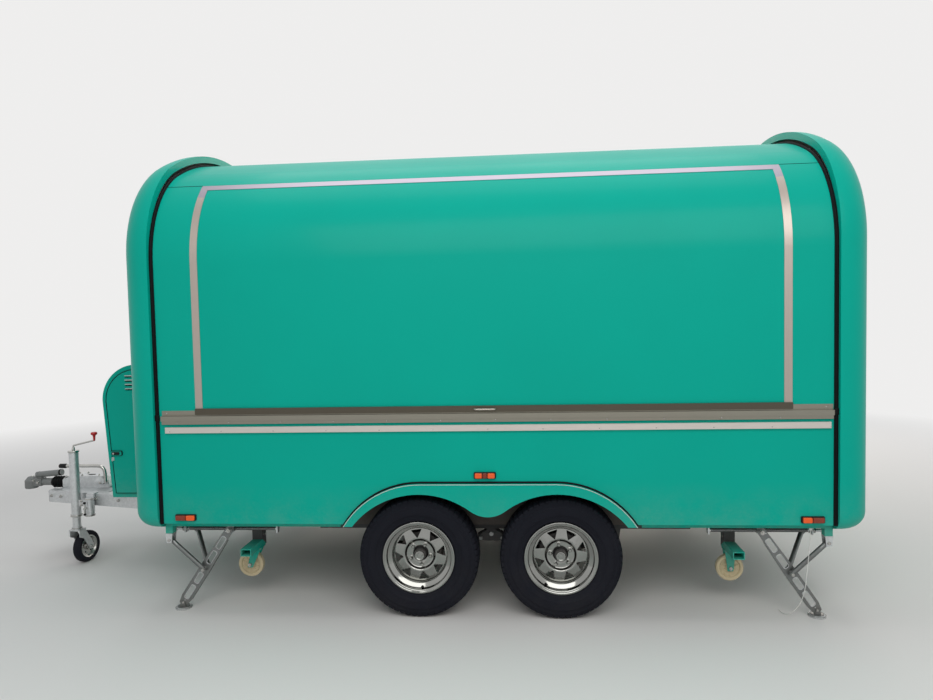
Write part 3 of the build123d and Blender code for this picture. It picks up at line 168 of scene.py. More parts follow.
def road_dust_group():
    """A mask for dust and splashes that thin out with height."""
    group, tree, given, result = new_group(
        "road_dust",
        [("Low", "NodeSocketFloat", 0.3), ("High", "NodeSocketFloat", 1.0),
         ("Amount", "NodeSocketFloat", 0.3)],
        [("Mask", "NodeSocketFloat")])
    place = tree.place()
    height = tree.add("ShaderNodeSeparateXYZ")
    tree.join(place, height.inputs[0])
    fade = tree.add("ShaderNodeMapRange", clamp=True)
    tree.join(height.outputs["Z"], fade.inputs["Value"])
    tree.join(given.outputs["Low"], fade.inputs["From Min"])
    tree.join(given.outputs["High"], fade.inputs["From Max"])
    fade.inputs["To Min"].default_value = 1.0
    fade.inputs["To Max"].default_value = 0.0
    patches = tree.ramp(tree.noise(place, 7.0, 6.0, 0.65), 0.35, 0.7)
    specks = tree.ramp(tree.noise(place, 90.0, 2.0, 0.6), 0.5, 0.75)
    both = tree.math("ADD", tree.math("MULTIPLY", patches, 0.7), tree.math("MULTIPLY", specks, 0.3))
    faded = tree.math("MULTIPLY", fade.outputs[0], both)
    tree.join(tree.math("MULTIPLY", faded, given.outputs["Amount"], True), result.inputs["Mask"])
    return group


def wear_group():
    """Soft uneven patches from handling, as a value mostly near one half."""
    group, tree, given, result = new_group(
        "soft_wear", [("Scale", "NodeSocketFloat", 4.0)], [("Value", "NodeSocketFloat")])
    place = tree.place()
    broad, fine = tree.noise(place, given.outputs["Scale"], 5.0), tree.noise(place, 140.0, 2.0)
    tree.join(tree.blend(0.25, broad, fine), result.inputs["Value"])
    return group


def grain_group():
    """Fine height for moulded and cast surfaces."""
    group, tree, given, result = new_group(
        "fine_grain", [("Scale", "NodeSocketFloat", 900.0)], [("Height", "NodeSocketFloat")])
    tree.join(tree.noise(tree.place(), given.outputs["Scale"], 2.0), result.inputs["Height"])
    return group


DUST, WEAR, GRAIN = road_dust_group(), wear_group(), grain_group()
DUST_COLOUR = (0.30, 0.27, 0.22, 1)


class Finish:
    """A material with a Principled shader, and helpers for its colour, gloss and height."""

    def __init__(self, name, colour, metallic=0.0, roughness=0.5):
        self.material = bpy.data.materials.new(name)
        self.material.use_nodes = True
        self.tree = Tree(self.material.node_tree)
        self.shader = self.material.node_tree.nodes["Principled BSDF"]
        self.colour, self.roughness = (*colour, 1), roughness
        self.socket("Metallic", metallic)

    def socket(self, name, value):
        self.tree.set(self.shader.inputs[name], value)
        return self

    def vary(self, darker, scale=4.0, gloss=0.08):
        """Uneven tone and gloss from soft wear."""
        value = self.tree.group(WEAR, Scale=scale).outputs["Value"]
        spread = self.tree.ramp(value, 0.3, 0.7)
        self.colour = self.tree.mix(spread, self.colour, (*darker, 1))
        self.roughness = self.tree.math("ADD", self.roughness, self.tree.math("MULTIPLY", spread, gloss))
        return self

    def dust(self, low, high, amount):
        mask = self.tree.group(DUST, Low=low, High=high, Amount=amount).outputs["Mask"]
        self.colour = self.tree.mix(mask, self.colour, DUST_COLOUR)
        self.roughness = self.tree.blend(mask, self.roughness, 0.85)
        return self

    def bump(self, height, strength, distance=0.001):
        node = self.tree.add("ShaderNodeBump")
        node.inputs["Strength"].default_value = strength
        node.inputs["Distance"].default_value = distance
        self.tree.join(height, node.inputs["Height"])
        self.tree.join(node.outputs["Normal"], self.shader.inputs["Normal"])
        return self

    def grained(self, scale, strength, distance=0.0004):
        return self.bump(self.tree.group(GRAIN, Scale=scale).outputs["Height"], strength, distance)

    def done(self):
        self.socket("Base Color", self.colour)
        self.socket("Roughness", self.roughness)
        return self.material


def teal_paint(name, dust_top=0.75, amount=0.25):
    """Glossy teal on moulded panels: a faint orange peel, a clear coat and dust near the bottom."""
    finish = Finish(name, (0.0, 0.400, 0.308), 0.0, 0.34)
    finish.vary((0.0, 0.376, 0.290), 1.6, 0.05)
    finish.dust(0.42, dust_top, amount)
    finish.socket("Specular IOR Level", 0.08).socket("Coat Weight", 0.06).socket("Coat Roughness", 0.12)
    return finish.grained(220.0, 0.05, 0.0008).done()


def scaled(colour, share):
    return tuple(share * part for part in colour)


def brushed_stainless(name, along=(1.0, 60.0, 60.0), tint=(0.62, 0.58, 0.54)):
    """Stainless sheet with fine lines, across the axes that along stretches."""
    finish = Finish(name, tint, 1.0, 0.30)
    lines = finish.tree.noise(finish.tree.stretched(along), 14.0, 4.0, 0.7)
    finish.colour = finish.tree.mix(lines, (*scaled(tint, 0.86), 1), (*scaled(tint, 1.14), 1))
    finish.roughness = finish.tree.ramp(lines, -0.4, 1.9)
    return finish.bump(lines, 0.08, 0.0003).done()


def zinc_coat(name, tint=(0.62, 0.64, 0.65)):
    """Hot-dip zinc: cloudy grey metal with faint crystals."""
    finish = Finish(name, tint, 0.85, 0.42)
    cells = finish.tree.add("ShaderNodeTexVoronoi")
    cells.inputs["Scale"].default_value = 85.0
    finish.tree.join(finish.tree.place(), cells.inputs["Vector"])
    shade = finish.tree.add("ShaderNodeSeparateColor")
    finish.tree.join(cells.outputs["Color"], shade.inputs[0])
    finish.colour = finish.tree.mix(finish.tree.math("MULTIPLY", shade.outputs[0], 0.55),
                                    (*tint, 1), (*scaled(tint, 0.78), 1))
    finish.roughness = finish.tree.blend(shade.outputs[1], 0.34, 0.52)
    finish.dust(0.0, 0.5, 0.35)
    return finish.grained(300.0, 0.08).done()


def bright_plate(name, roughness=0.09, tint=(0.52, 0.52, 0.50)):
    """Bright zinc or chrome plating that mirrors its surroundings."""
    finish = Finish(name, tint, 1.0, roughness)
    finish.vary(scaled(tint, 0.8), 9.0, 0.10)
    return finish.dust(0.0, 0.42, 0.12).done()


def moulded(name, colour, roughness=0.5, dust=0.2, grain=700.0, shine=0.5):
    finish = Finish(name, colour, 0.0, roughness)
    finish.socket("Specular IOR Level", shine)
    finish.vary(scaled(colour, 0.8), 8.0, 0.1)
    finish.dust(0.0, 0.7, dust)
    return finish.grained(grain, 0.12).done()


def tyre_rubber(name):
    finish = Finish(name, (0.008, 0.009, 0.014), 0.0, 0.66)
    finish.vary((0.012, 0.013, 0.019), 6.0, 0.12)
    finish.dust(0.0, 0.55, 0.04)
    finish.socket("Specular IOR Level", 0.10)
    return finish.grained(1100.0, 0.25).done()


def lens(name, colour, glow=0.25):
    """Moulded lamp lens with fine prisms behind the surface; it glows faintly by glow, painted light, as the
    lamps are not lit.
    """
    finish = Finish(name, colour, 0.0, 0.18)
    wave = finish.tree.add("ShaderNodeTexWave", wave_type="BANDS", bands_direction="X")
    wave.inputs["Scale"].default_value = 60.0
    finish.tree.join(finish.tree.place(), wave.inputs["Vector"])
    finish.colour = finish.tree.mix(wave.outputs["Fac"], (*colour, 1), (*scaled(colour, 0.45), 1))
    finish.socket("Emission Color", (*colour, 1)).socket("Emission Strength", glow)
    finish.socket("Specular IOR Level", 0.3)
    finish.socket("Coat Weight", 0.6)
    return finish.bump(wave.outputs["Fac"], 0.25, 0.0008).done()


def pane_glass(name):
    finish = Finish(name, (0.80, 0.90, 0.90), 0.0, 0.03)
    finish.socket("Transmission Weight", 0.85).socket("IOR", 1.45)
    finish.dust(1.4, 2.6, 0.05)
    return finish.done()


def floor_boards(name):
    """Dark film-faced plywood with a fine raised grid."""
    finish = Finish(name, (0.10, 0.075, 0.055), 0.0, 0.55)
    grid = finish.tree.add("ShaderNodeTexBrick")
    finish.tree.join(finish.tree.place(), grid.inputs["Vector"])
    grid.inputs["Scale"].default_value = 90.0
    finish.vary((0.07, 0.055, 0.04), 5.0, 0.12)
    return finish.bump(grid.outputs["Fac"], 0.4, 0.0008).done()


PAINT = teal_paint("teal_body_paint")
FRAME_PAINT = teal_paint("teal_frame_paint", 0.60, 0.55)
CREAM_LINING = moulded("cream_wall_lining", (0.72, 0.72, 0.68), 0.45, 0.05)
STAINLESS = brushed_stainless("brushed_stainless_rails")
# The hatch trim's tones are painted reflections: near black brown on the low rail for the dark ground, warm
# brown on the uprights, lilac on the top strip for the sky.
STAINLESS_RAIL_PAINTED_DARK_REFLECTION = brushed_stainless("stainless_hatch_rail_painted_dark_reflection", tint=(0.10, 0.09, 0.07))
# The sill's dark warm tone is a painted reflection of the dark ground.
STAINLESS_SILL_PAINTED_REFLECTION = brushed_stainless("stainless_sill_painted_dark_reflection", tint=(0.26, 0.25, 0.21))
STAINLESS_UPRIGHT_PAINTED_REFLECTION = brushed_stainless("brushed_stainless_strips_painted_reflection", (60.0, 60.0, 1.0),
                                      (0.42, 0.37, 0.33))
STAINLESS_TOP_PAINTED_SKY_REFLECTION = brushed_stainless("stainless_hatch_top_painted_sky_reflection", tint=(0.34, 0.31, 0.36))
ZINC = zinc_coat("galvanised_steel")
DULL_ZINC = zinc_coat("weathered_zinc", (0.34, 0.35, 0.35))
# The steadies' legs and braces get a dark zinc that is painted shade and dark reflection.
ZINC_PAINTED_SHADE_AND_REFLECTION = zinc_coat("galvanised_steel_painted_shade_and_reflection", (0.20, 0.21, 0.21))
# The wheels' plating is toned dark as a painted reflection of dark surroundings.
CHROME_PAINTED_DARK_REFLECTION = bright_plate("plated_wheel_painted_dark_reflection", 0.06, (0.33, 0.335, 0.32))
PLATED = bright_plate("bright_plated_fittings", 0.18)
CAST = moulded("grey_cast_head", (0.19, 0.20, 0.20), 0.42, 0.15, 400.0)
BLACK_RUBBER = moulded("black_rubber_seal", (0.004, 0.004, 0.005), 0.60, 0.02, shine=0.15)
BLACK_PLASTIC = moulded("black_moulded_plastic", (0.008, 0.008, 0.009), 0.45, 0.1, shine=0.2)
# White for the box's tag and hook, and for the painted highlight along the fenders' lip.
WHITE_TAG_AND_PAINTED_HIGHLIGHT = moulded("white_tag_and_painted_highlight_line", (0.70, 0.72, 0.70), 0.45, 0.1)
# Pale teal louvre lips as a painted highlight on their top edges.
LOUVRE_LIP_PAINTED_HIGHLIGHT = moulded("louvre_lip_painted_highlight", (0.42, 0.58, 0.53), 0.40, 0.1)
# Dark grey that is partly painted shade, on the castors' posts and the main rails.
DARK_FRAME_AND_PAINTED_SHADE = moulded("dark_grey_frame_and_painted_shade", (0.045, 0.047, 0.050), 0.55, 0.3)
# Black paint on the axles, springs and drums, and painted shade on the steadies' screws.
BLACK_STEEL_AND_SHADE = moulded("black_steel_and_painted_shade", (0.028, 0.028, 0.030), 0.50, 0.5)
GREY_LINER = moulded("grey_brown_wheel_liner", (0.085, 0.072, 0.065), 0.70, 0.6)
TYRE = tyre_rubber("tyre_rubber")
# The lenses' glow is painted light: the lamps are not lit.
AMBER = lens("amber_lens", (1.0, 0.115, 0.004), 0.12)
DEEP_AMBER = lens("deep_amber_lens", (0.30, 0.030, 0.006), 0.04)
RED_LENS = lens("red_lens", (0.55, 0.008, 0.008))
CLEAR_LENS = lens("clear_lens", (0.70, 0.70, 0.68), 0.1)
RED_KNOB = moulded("red_moulded_knob", (0.50, 0.012, 0.015), 0.30, 0.05)
CREAM_WHEEL = moulded("cream_castor_wheel", (0.66, 0.56, 0.36), 0.38, 0.30)
WHITE_CORD = moulded("white_cord_sheath", (0.78, 0.78, 0.76), 0.45, 0.1)
PANE = pane_glass("door_pane_glass")
BOARDS = floor_boards("floor_boards")
BLANK_PLATE = moulded("blank_number_plate", (0.72, 0.71, 0.66), 0.35, 0.1)


def finishes_of(name, *finishes):
    """Gives a CAD node these finishes and returns its faces."""
    data = NODES[name].data
    data.materials.clear()
    for finish in finishes:
        data.materials.append(finish)
    return data.polygons


def dress(finish, *names):
    for name in names:
        finishes_of(name, finish)


def line_inside(names, test):
    """Gives the faces of a painted panel that point into the cabin their cream lining."""
    for name in names:
        for face in finishes_of(name, PAINT, CREAM_LINING):
            face.material_index = 1 if test(face) else 0


def split_finish(name, finish, *others):
    """Gives the faces that pass a test the finish named with it; tests have them in millimetres."""
    for face in finishes_of(name, finish, *(other for other, _ in others)):
        middle = face.center / MM
        place = (middle.x - BODY_MIDDLE / MM, abs(middle.y), middle.z)
        face.material_index = next((index for index, (_, test) in enumerate(others, 1) if test(*place)), 0)


CABIN_MIDDLE = 1450
# Above this height the castors' posts are dark grey: overspray, with painted shade.
CASTOR_POST_DARK_BASE = 350
STEADY_PAINT_BASE, STEADY_PAINT_OUT = 456, 960
HATCH_RAIL_TOP, HATCH_RAIL_OUT, HATCH_STRIP_BASE = 1154, 1066, 2300


def faces_inwards(face):
    away = Vector((0, face.center.y, face.center.z - CABIN_MIDDLE * MM))
    return face.normal.dot(away) < 0 and abs(face.normal.x) < 0.5


def faces_middle(face):
    away = face.center.x - BODY_MIDDLE
    return face.normal.x * away < -0.3 and abs(away) > CAP_RING * MM


line_inside(("wall_serving", "wall_back", "roof", "hatch_panel"), faces_inwards)
line_inside(("end_cap_front", "end_cap_rear", "door_panel"), faces_middle)
dress(PAINT, "gas_box", "box_door", "fenders")
dress(FRAME_PAINT, "chassis_frame")
# Castor posts: dark grey above that height, overspray with painted shade. Main rails: dark grey as painted
# shade under the body.
split_finish("castor_frames", FRAME_PAINT, (DARK_FRAME_AND_PAINTED_SHADE, lambda x, y, z: z > CASTOR_POST_DARK_BASE))
dress(DARK_FRAME_AND_PAINTED_SHADE, "main_rails")
split_finish("steady_frames", ZINC,
             (FRAME_PAINT, lambda x, y, z: z > STEADY_PAINT_BASE and y > STEADY_PAINT_OUT))
dress(ZINC, "drawbar_beams", "jockey_tube", "jockey_leg", "jockey_fork", "coupling_housing")
dress(STAINLESS, "shelf_rail", "worktop", "door_fittings", "door_hinges")
# The sill rail's dark tone is a painted reflection.
dress(STAINLESS_SILL_PAINTED_REFLECTION, "sill_rail")
# The hatch trim is toned by place as painted reflection: dark on the low rail, lilac on the top strip, warm
# brown on the uprights.
split_finish("hatch_trim", STAINLESS_UPRIGHT_PAINTED_REFLECTION,
             (STAINLESS_RAIL_PAINTED_DARK_REFLECTION, lambda x, y, z: z < HATCH_RAIL_TOP and y < HATCH_RAIL_OUT),
             (STAINLESS_TOP_PAINTED_SKY_REFLECTION, lambda x, y, z: z > HATCH_STRIP_BASE))
# Painted shade and dark reflection on the steadies' legs and braces.
dress(ZINC_PAINTED_SHADE_AND_REFLECTION, *(f"steady_{part}_{name}" for part in ("leg", "brace") for name, _, _ in CORNERS))
dress(BLACK_STEEL_AND_SHADE, "axles", "leaf_springs")
dress(CAST, "coupling_head")
dress(GREY_LINER, "wheel_wells")
dress(BLACK_RUBBER, "body_seals", "coupling_bellows")
dress(BOARDS, "floor_deck")
dress(PANE, "door_glass")
dress(WHITE_CORD, "cord_gland")
dress(CREAM_WHEEL, *(f"castor_wheel_{name}" for name, _, _ in CORNERS))


def faces_of(verts):
    return list({face for vert in verts for face in vert.link_faces})


def with_faces(verts):
    """The vertices with their edges and faces."""
    return list({*verts, *(e for vert in verts for e in vert.link_edges), *faces_of(verts)})


def bevel(bm, edges, width, segments=2):
    return bmesh.ops.bevel(bm, geom=list(edges), offset=width, offset_type="OFFSET", affect="EDGES",
                           segments=segments, profile=0.5, material=-1, clamp_overlap=True)


def turned_copies(bm, geom, middle, axis, count):
    """Copies geometry evenly around an axis, count in all, and returns the new vertices."""
    made = []
    for step in range(1, count):
        copy = bmesh.ops.duplicate(bm, geom=geom)["geom"]
        fresh = [part for part in copy if isinstance(part, bmesh.types.BMVert)]
        bmesh.ops.rotate(bm, verts=fresh, cent=middle,
                         matrix=Matrix.Rotation(math.tau * step / count, 3, Vector(axis)))
        made += fresh
    return made


class Piece:
    """One object's geometry, gathered in millimetres from the middle of the body."""

    def __init__(self, name, body, *finishes, slot=None):
        self.name, self.body, self.finishes, self.slot = name, body, finishes, slot
        self.bm = bmesh.new()

    def paint(self, verts, finish):
        for face in faces_of(verts):
            face.material_index = finish
        return list(verts)

    def block(self, x, y, z, edge=0.0, finish=0, segments=2):
        size = [high - low for low, high in (x, y, z)]
        middle = [(high + low) / 2 for low, high in (x, y, z)]
        matrix = Matrix.Translation(middle) @ Matrix.Diagonal((*size, 1))
        made = bmesh.ops.create_cube(self.bm, size=1, matrix=matrix)["verts"]
        if edge:
            made = self.soften(made, edge, segments)
        return self.paint(made, finish)

    def soften(self, verts, edge, segments=2, only=None):
        edges = {e for vert in verts for e in vert.link_edges}
        if only is not None:
            edges = {e for e in edges if only(e)}
        fresh = bevel(self.bm, edges, edge, segments)["faces"]
        kept = [vert for vert in verts if vert.is_valid]
        return list({*kept, *(vert for face in fresh for vert in face.verts)})

    def slab(self, x, y, z, corner, along, edge=0.0, finish=0, segments=5):
        """A block whose four edges along one axis are rounded."""
        made = self.block(x, y, z)
        made = self.soften(made, corner, segments,
                           lambda e: abs((e.verts[0].co - e.verts[1].co).normalized().dot(along)) > 0.9)
        if edge:
            made = self.soften(made, edge, 2, lambda e: e.is_manifold and e.calc_face_angle(0) > 0.9)
        return self.paint(made, finish)

    def bar(self, start, end, radius, tip=None, sides=24, edge=0.0, finish=0):
        start, end = Vector(start), Vector(end)
        run = end - start
        turn = Z.rotation_difference(run).to_matrix().to_4x4()
        made = bmesh.ops.create_cone(self.bm, cap_ends=True, segments=sides, radius1=radius,
                                     radius2=radius if tip is None else tip, depth=run.length,
                                     matrix=Matrix.Translation((start + end) / 2) @ turn)["verts"]
        if edge:
            made = self.soften(made, edge, 2, lambda e: e.is_manifold and e.calc_face_angle(0) > 0.7)
        return self.paint(made, finish)

    def turned(self, profile, middle, axis, steps=48, finish=0, closed=False):
        """Spins a line of (radius, height) points about an axis."""
        axis, middle = Vector(axis).normalized(), Vector(middle)
        side = (Z if abs(axis.z) < 0.9 else X).cross(axis).normalized()
        verts = [self.bm.verts.new(middle + side * radius + axis * height) for radius, height in profile]
        pairs = list(zip(verts, verts[1:])) + ([(verts[-1], verts[0])] if closed else [])
        edges = [self.bm.edges.new(pair) for pair in pairs]
        before = set(self.bm.verts) - set(verts)
        bmesh.ops.spin(self.bm, geom=verts + edges, cent=middle, axis=axis, angle=math.tau,
                       steps=steps, use_merge=True)
        made = [vert for vert in self.bm.verts if vert not in before]
        bmesh.ops.remove_doubles(self.bm, verts=made, dist=0.01)
        made = [vert for vert in self.bm.verts if vert not in before]
        bmesh.ops.recalc_face_normals(self.bm, faces=faces_of(made))
        return self.paint(made, finish)

    def ring(self, middle, axis, radius, thick, steps=48, sides=8, finish=0):
        """A round ring of round section."""
        turn = [math.tau * step / sides for step in range(sides)]
        profile = [(radius + thick * math.cos(a), thick * math.sin(a)) for a in turn]
        return self.turned(profile, middle, axis, steps, finish, closed=True)

    def hexagon(self, middle, axis, across, height, finish=0):
        """A nut or bolt head on a surface, with a domed washer face."""
        middle, axis = Vector(middle), Vector(axis).normalized()
        radius = across / math.sqrt(3)
        made = self.bar(middle, middle + axis * height, radius, radius * 0.96, 6, finish=finish)
        washer = middle + axis * height * 0.18
        return made + self.bar(middle, washer, across * 0.62, across * 0.56, 20, finish=finish)

    def bolt(self, middle, axis, across, finish=0):
        middle, axis = Vector(middle), Vector(axis).normalized()
        made = self.hexagon(middle, axis, across, across * 0.55, finish)
        end = middle + axis * across * 0.95
        return made + self.bar(middle, end, across * 0.29, across * 0.24, 12, finish=finish)

    def screw(self, middle, axis, radius, finish=0):
        """A pan-head screw with a cross slot left dark by its depth."""
        middle, axis = Vector(middle), Vector(axis).normalized()
        dome = [(radius, 0), (radius, radius * 0.25), (radius * 0.75, radius * 0.55),
                (radius * 0.3, radius * 0.66), (radius * 0.26, radius * 0.35), (0, radius * 0.35)]
        return self.turned(dome, middle, axis, 12, finish)

    def pipe(self, points, radius, finish=0, sides=4, closed=False, bend=0.0):
        """A round tube along points, with its corners rounded by bend."""
        made = tube_mesh([Vector(point) for point in points], radius, sides, bend, closed)
        before = set(self.bm.verts)
        self.bm.from_mesh(made)
        bpy.data.meshes.remove(made)
        verts = [vert for vert in self.bm.verts if vert not in before]
        return self.paint(verts, finish)

    def collar(self, inner, outer, width, middle, axis, steps, finish=0):
        """A flat ring of square section."""
        profile = [(inner, 0), (outer, 0), (outer, width), (inner, width)]
        return self.turned(profile, middle, axis, steps, finish)

    def around(self, verts, middle, axis, count):
        """Copies verts' faces evenly around an axis, count in all."""
        return list(verts) + turned_copies(self.bm, with_faces(verts), middle, axis, count)

    def move(self, verts, matrix):
        bmesh.ops.transform(self.bm, matrix=matrix, verts=list(set(verts)))
        if matrix.determinant() < 0:
            bmesh.ops.reverse_faces(self.bm, faces=faces_of(verts))
        return verts

    def all_moved(self, matrix):
        self.move(list(self.bm.verts), matrix)
        return self

    def done(self, sharp=35.0, replaces=()):
        to_frame = Matrix.Translation((BODY_MIDDLE, 0, 0)) @ Matrix.Diagonal((MM, MM, MM, 1))
        bmesh.ops.transform(self.bm, matrix=to_frame, verts=self.bm.verts)
        for face in self.bm.faces:
            face.smooth = True
        for e in self.bm.edges:
            e.smooth = e.is_manifold and e.calc_face_angle(0) < math.radians(sharp)
        data = bpy.data.meshes.new(self.name)
        self.bm.to_mesh(data)
        self.bm.free()
        for finish in self.finishes:
            data.materials.append(finish)
        made = new_object(self.name, data)
        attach(made, self.body)
        if replaces:
            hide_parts(*replaces)


def rounded_points(points, bend, closed=False):
    """The points with each corner cut back by up to bend, and a middle point on the arc."""
    if not bend:
        return points
    result = [] if closed else [points[0]]
    count = len(points)
    for index in range(0 if closed else 1, count if closed else count - 1):
        here, last, ahead = points[index], points[index - 1], points[(index + 1) % count]
        reach = min(bend, (here - last).length * 0.45, (ahead - here).length * 0.45)
        start, end = here + (last - here).normalized() * reach, here + (ahead - here).normalized() * reach
        for share in (0.0, 0.25, 0.5, 0.75, 1.0):
            result.append(start.lerp(here, share).lerp(here.lerp(end, share), share))
    return result if closed else result + [points[-1]]


def tube_mesh(points, radius, sides, bend, closed=False):
    points = rounded_points(points, bend, closed)
    curve = bpy.data.curves.new("tube", "CURVE")
    curve.dimensions = "3D"
    curve.bevel_depth = radius
    curve.bevel_resolution = sides
    curve.use_fill_caps = not closed
    spline = curve.splines.new("POLY")
    spline.points.add(len(points) - 1)
    for target, point in zip(spline.points, points):
        target.co = (*point, 1)
    spline.use_cyclic_u = closed
    holder = bpy.data.objects.new("tube", curve)
    made = bpy.data.meshes.new_from_object(holder)
    bpy.data.objects.remove(holder)
    bpy.data.curves.remove(curve)
    return made


# Road wheels
TYRE_SIDE = [
    (318.5, 0), (318.5, 52), (318.5, 64), (312.5, 78), (302, 86.5), (297, 87.2), (296, 88.6), (291, 89.4),
    (289, 88.4), (276, 91.2), (275, 92.3), (271, 92.3), (270, 91.4), (252, 91.3), (240, 89.4), (239, 90.4),
    (236, 90.0), (235, 88.6), (222, 85.0), (213, 81.2), (212, 82.2), (207, 81.5), (203, 78.6), (199.5, 74.0),
    (195.5, 70.0), (179, 69.0)]
# Degrees that the front and the rear wheels stopped at.
WHEELS_STOPPED = (-8, 26)


def wheel_place(x, side):
    turn = Matrix.Rotation(0 if side < 0 else math.pi, 4, "Z")
    return Matrix.Translation((x, side * WHEEL_Y, WHEEL_RADIUS)) @ turn


def tyre_piece(name, x, side):
    """Tyre with its side rings, three rows of tread blocks and the shoulder lugs."""
    piece = Piece(f"tyre_tread_{name}", f"wheel_{name}", TYRE, slot="tyre_black")
    profile = TYRE_SIDE + [(radius, -height) for radius, height in reversed(TYRE_SIDE[1:])]
    piece.turned(profile, (0, 0, 0), Y, 96)
    pitches = 60
    lug = 2 * math.pi * WHEEL_RADIUS / pitches
    blocks = []
    for low, high, gap, slant in ((-48, -24, 4.5, 6), (-19, 19, 7.0, -5), (24, 48, 4.5, 6)):
        made = piece.block((-(lug - gap) / 2, (lug - gap) / 2), (low, high), (314, 325), 0.8, segments=1)
        for vert in made:
            vert.co.x += slant * (vert.co.y - (low + high) / 2) / (high - low)
        blocks += made
    for sign in (-1, 1):
        made = piece.block((-(lug - 3.5) / 2, (lug - 3.5) / 2), (53, 84), (306, 325), 0.8, segments=1)
        for vert in made:
            over = max(0.0, vert.co.y - 62)
            if vert.co.z > 315:
                vert.co.z -= over * 0.36
            vert.co.x *= 1 - over * 0.004
            vert.co.y *= sign
        if sign < 0:
            bmesh.ops.reverse_faces(piece.bm, faces=faces_of(made))
        blocks += made
        blocks += piece.block((-1.4, 1.4), sorted((sign * 86.5, sign * 92.0)), (278, 288), 0.5, segments=1)
    piece.around(blocks, (0, 0, 0), Y, pitches)
    piece.all_moved(wheel_place(x, side))
    piece.done(40, replaces=(f"tyre_{name}",))


WINDOWS = 8
EIGHTH = math.tau / WINDOWS
WHEEL_WINDOW = rounded_points([Vector((0, 90)), Vector((31, 137)), Vector((-31, 137))], 7, True)
BARREL = ((195.2, -73.2), (195.7, -76.2), (194.7, -79.2), (192.0, -80.4), (188.6, -79.8), (186.6, -77.6),
          (183.0, -76.6), (179.4, -75.8), (176.2, -73.6), (174.4, -69.5), (174.0, -64.0), (172.6, -60.5),
          (172.6, -57.5), (174.0, -54.0), (173.6, -49.5), (170.5, -46.5), (156.0, -38.6), (151.4, -35.6),
          (149.4, -31.5), (149.0, -26.0), (149.0, -5.0), (149.0, 22.0), (151.0, 25.0), (172.0, 38.0),
          (174.0, 42.0), (174.0, 68.0), (176.0, 73.0), (188.0, 78.6), (192.0, 79.6), (195.2, 77.0),
          (195.4, 73.0), (181.0, 71.2), (178.2, 67.0), (178.0, 41.0), (153.2, 23.5), (153.0, -35.2),
          (177.6, -49.0), (178.0, -66.0), (180.0, -71.0))
# Behind this depth the barrel has the drum's dark finish.
BARREL_DARK = -4
DISC = ((148.6, -5.0), (148.6, -9.4), (146.6, -11.6), (143.2, -12.2), (121.0, -16.2), (99.5, -20.2),
        (95.0, -21.4), (88.6, -21.4), (85.2, -19.8), (80.6, -14.2), (76.6, -8.8), (73.2, -6.0), (69.0, -5.2),
        (54.0, -5.0), (41.0, -5.0), (39.4, -4.2), (39.0, -1.0))
HUB = ((0, -35.4), (27.5, -35.4), (30.5, -34.6), (32.6, -32.0), (33.0, -28.0), (33.0, 0.4), (84, 0.4),
       (84, 10), (112, 10), (115, 13), (115, 68), (113, 70), (20.4, 70), (20.4, 5), (0, 5))


# The windows' edges lie between these radii, and each window within this reach of its middle.
WINDOW_BAND, WINDOW_MIDDLE, WINDOW_REACH = (86, 142), Vector((0, 0, 117)), 46
# The nuts' circle, and the degrees it is turned from the valve's side.
NUT_CIRCLE, NUT_TURN = 56, -35


def window_cut(bm, faces):
    """Cuts the rounded window out of the eighth of the disc that stands above the hub."""
    sides = list(zip(WHEEL_WINDOW, WHEEL_WINDOW[1:] + WHEEL_WINDOW[:1]))
    for here, ahead in sides:
        run = (ahead - here).normalized()
        near = [face for face in faces
                if face.is_valid and (face.calc_center_median() - WINDOW_MIDDLE).xz.length < WINDOW_REACH]
        parts = {*near, *(e for face in near for e in face.edges), *(v for face in near for v in face.verts)}
        cut = bmesh.ops.bisect_plane(bm, geom=list(parts), dist=0.0001, plane_co=(here.x, 0, here.y),
                                     plane_no=(-run.y, 0, run.x))
        fresh = (part for part in cut["geom"] if isinstance(part, bmesh.types.BMFace))
        faces = [face for face in {*faces, *fresh} if face.is_valid]

    def inside(face):
        place = face.calc_center_median().xz
        return all((ahead - here).cross(place - here) > 0 for here, ahead in sides)
    bmesh.ops.delete(bm, geom=[face for face in faces if inside(face)], context="FACES")


def wheel_disc(piece):
    """Pressed disc with eight windows: one eighth is spun and cut, repeated, and given its thickness."""
    bm = bmesh.new()
    across, up = math.sin(EIGHTH / 2), math.cos(EIGHTH / 2)
    verts = [bm.verts.new((-radius * across, y, radius * up)) for radius, y in DISC]
    edges = [bm.edges.new(pair) for pair in zip(verts, verts[1:])]
    bmesh.ops.spin(bm, geom=verts + edges, cent=(0, 0, 0), axis=Y, angle=EIGHTH, steps=12)
    window_cut(bm, list(bm.faces))
    turned_copies(bm, bm.verts[:] + bm.edges[:] + bm.faces[:], (0, 0, 0), Y, WINDOWS)
    bmesh.ops.remove_doubles(bm, verts=bm.verts, dist=0.005)
    bmesh.ops.recalc_face_normals(bm, faces=bm.faces)
    if sum(face.normal.y * face.calc_area() for face in bm.faces) > 0:
        bmesh.ops.reverse_faces(bm, faces=bm.faces)
    bmesh.ops.solidify(bm, geom=bm.faces[:], thickness=4.5)
    low, high = WINDOW_BAND
    rims = [e for e in bm.edges if e.is_manifold and e.calc_face_angle(0) > 1.1
            and low < ((e.verts[0].co + e.verts[1].co) / 2).xz.length < high]
    bevel(bm, rims, 0.9)
    holder = bpy.data.meshes.new("disc")
    bm.to_mesh(holder)
    bm.free()
    piece.bm.from_mesh(holder)
    bpy.data.meshes.remove(holder)


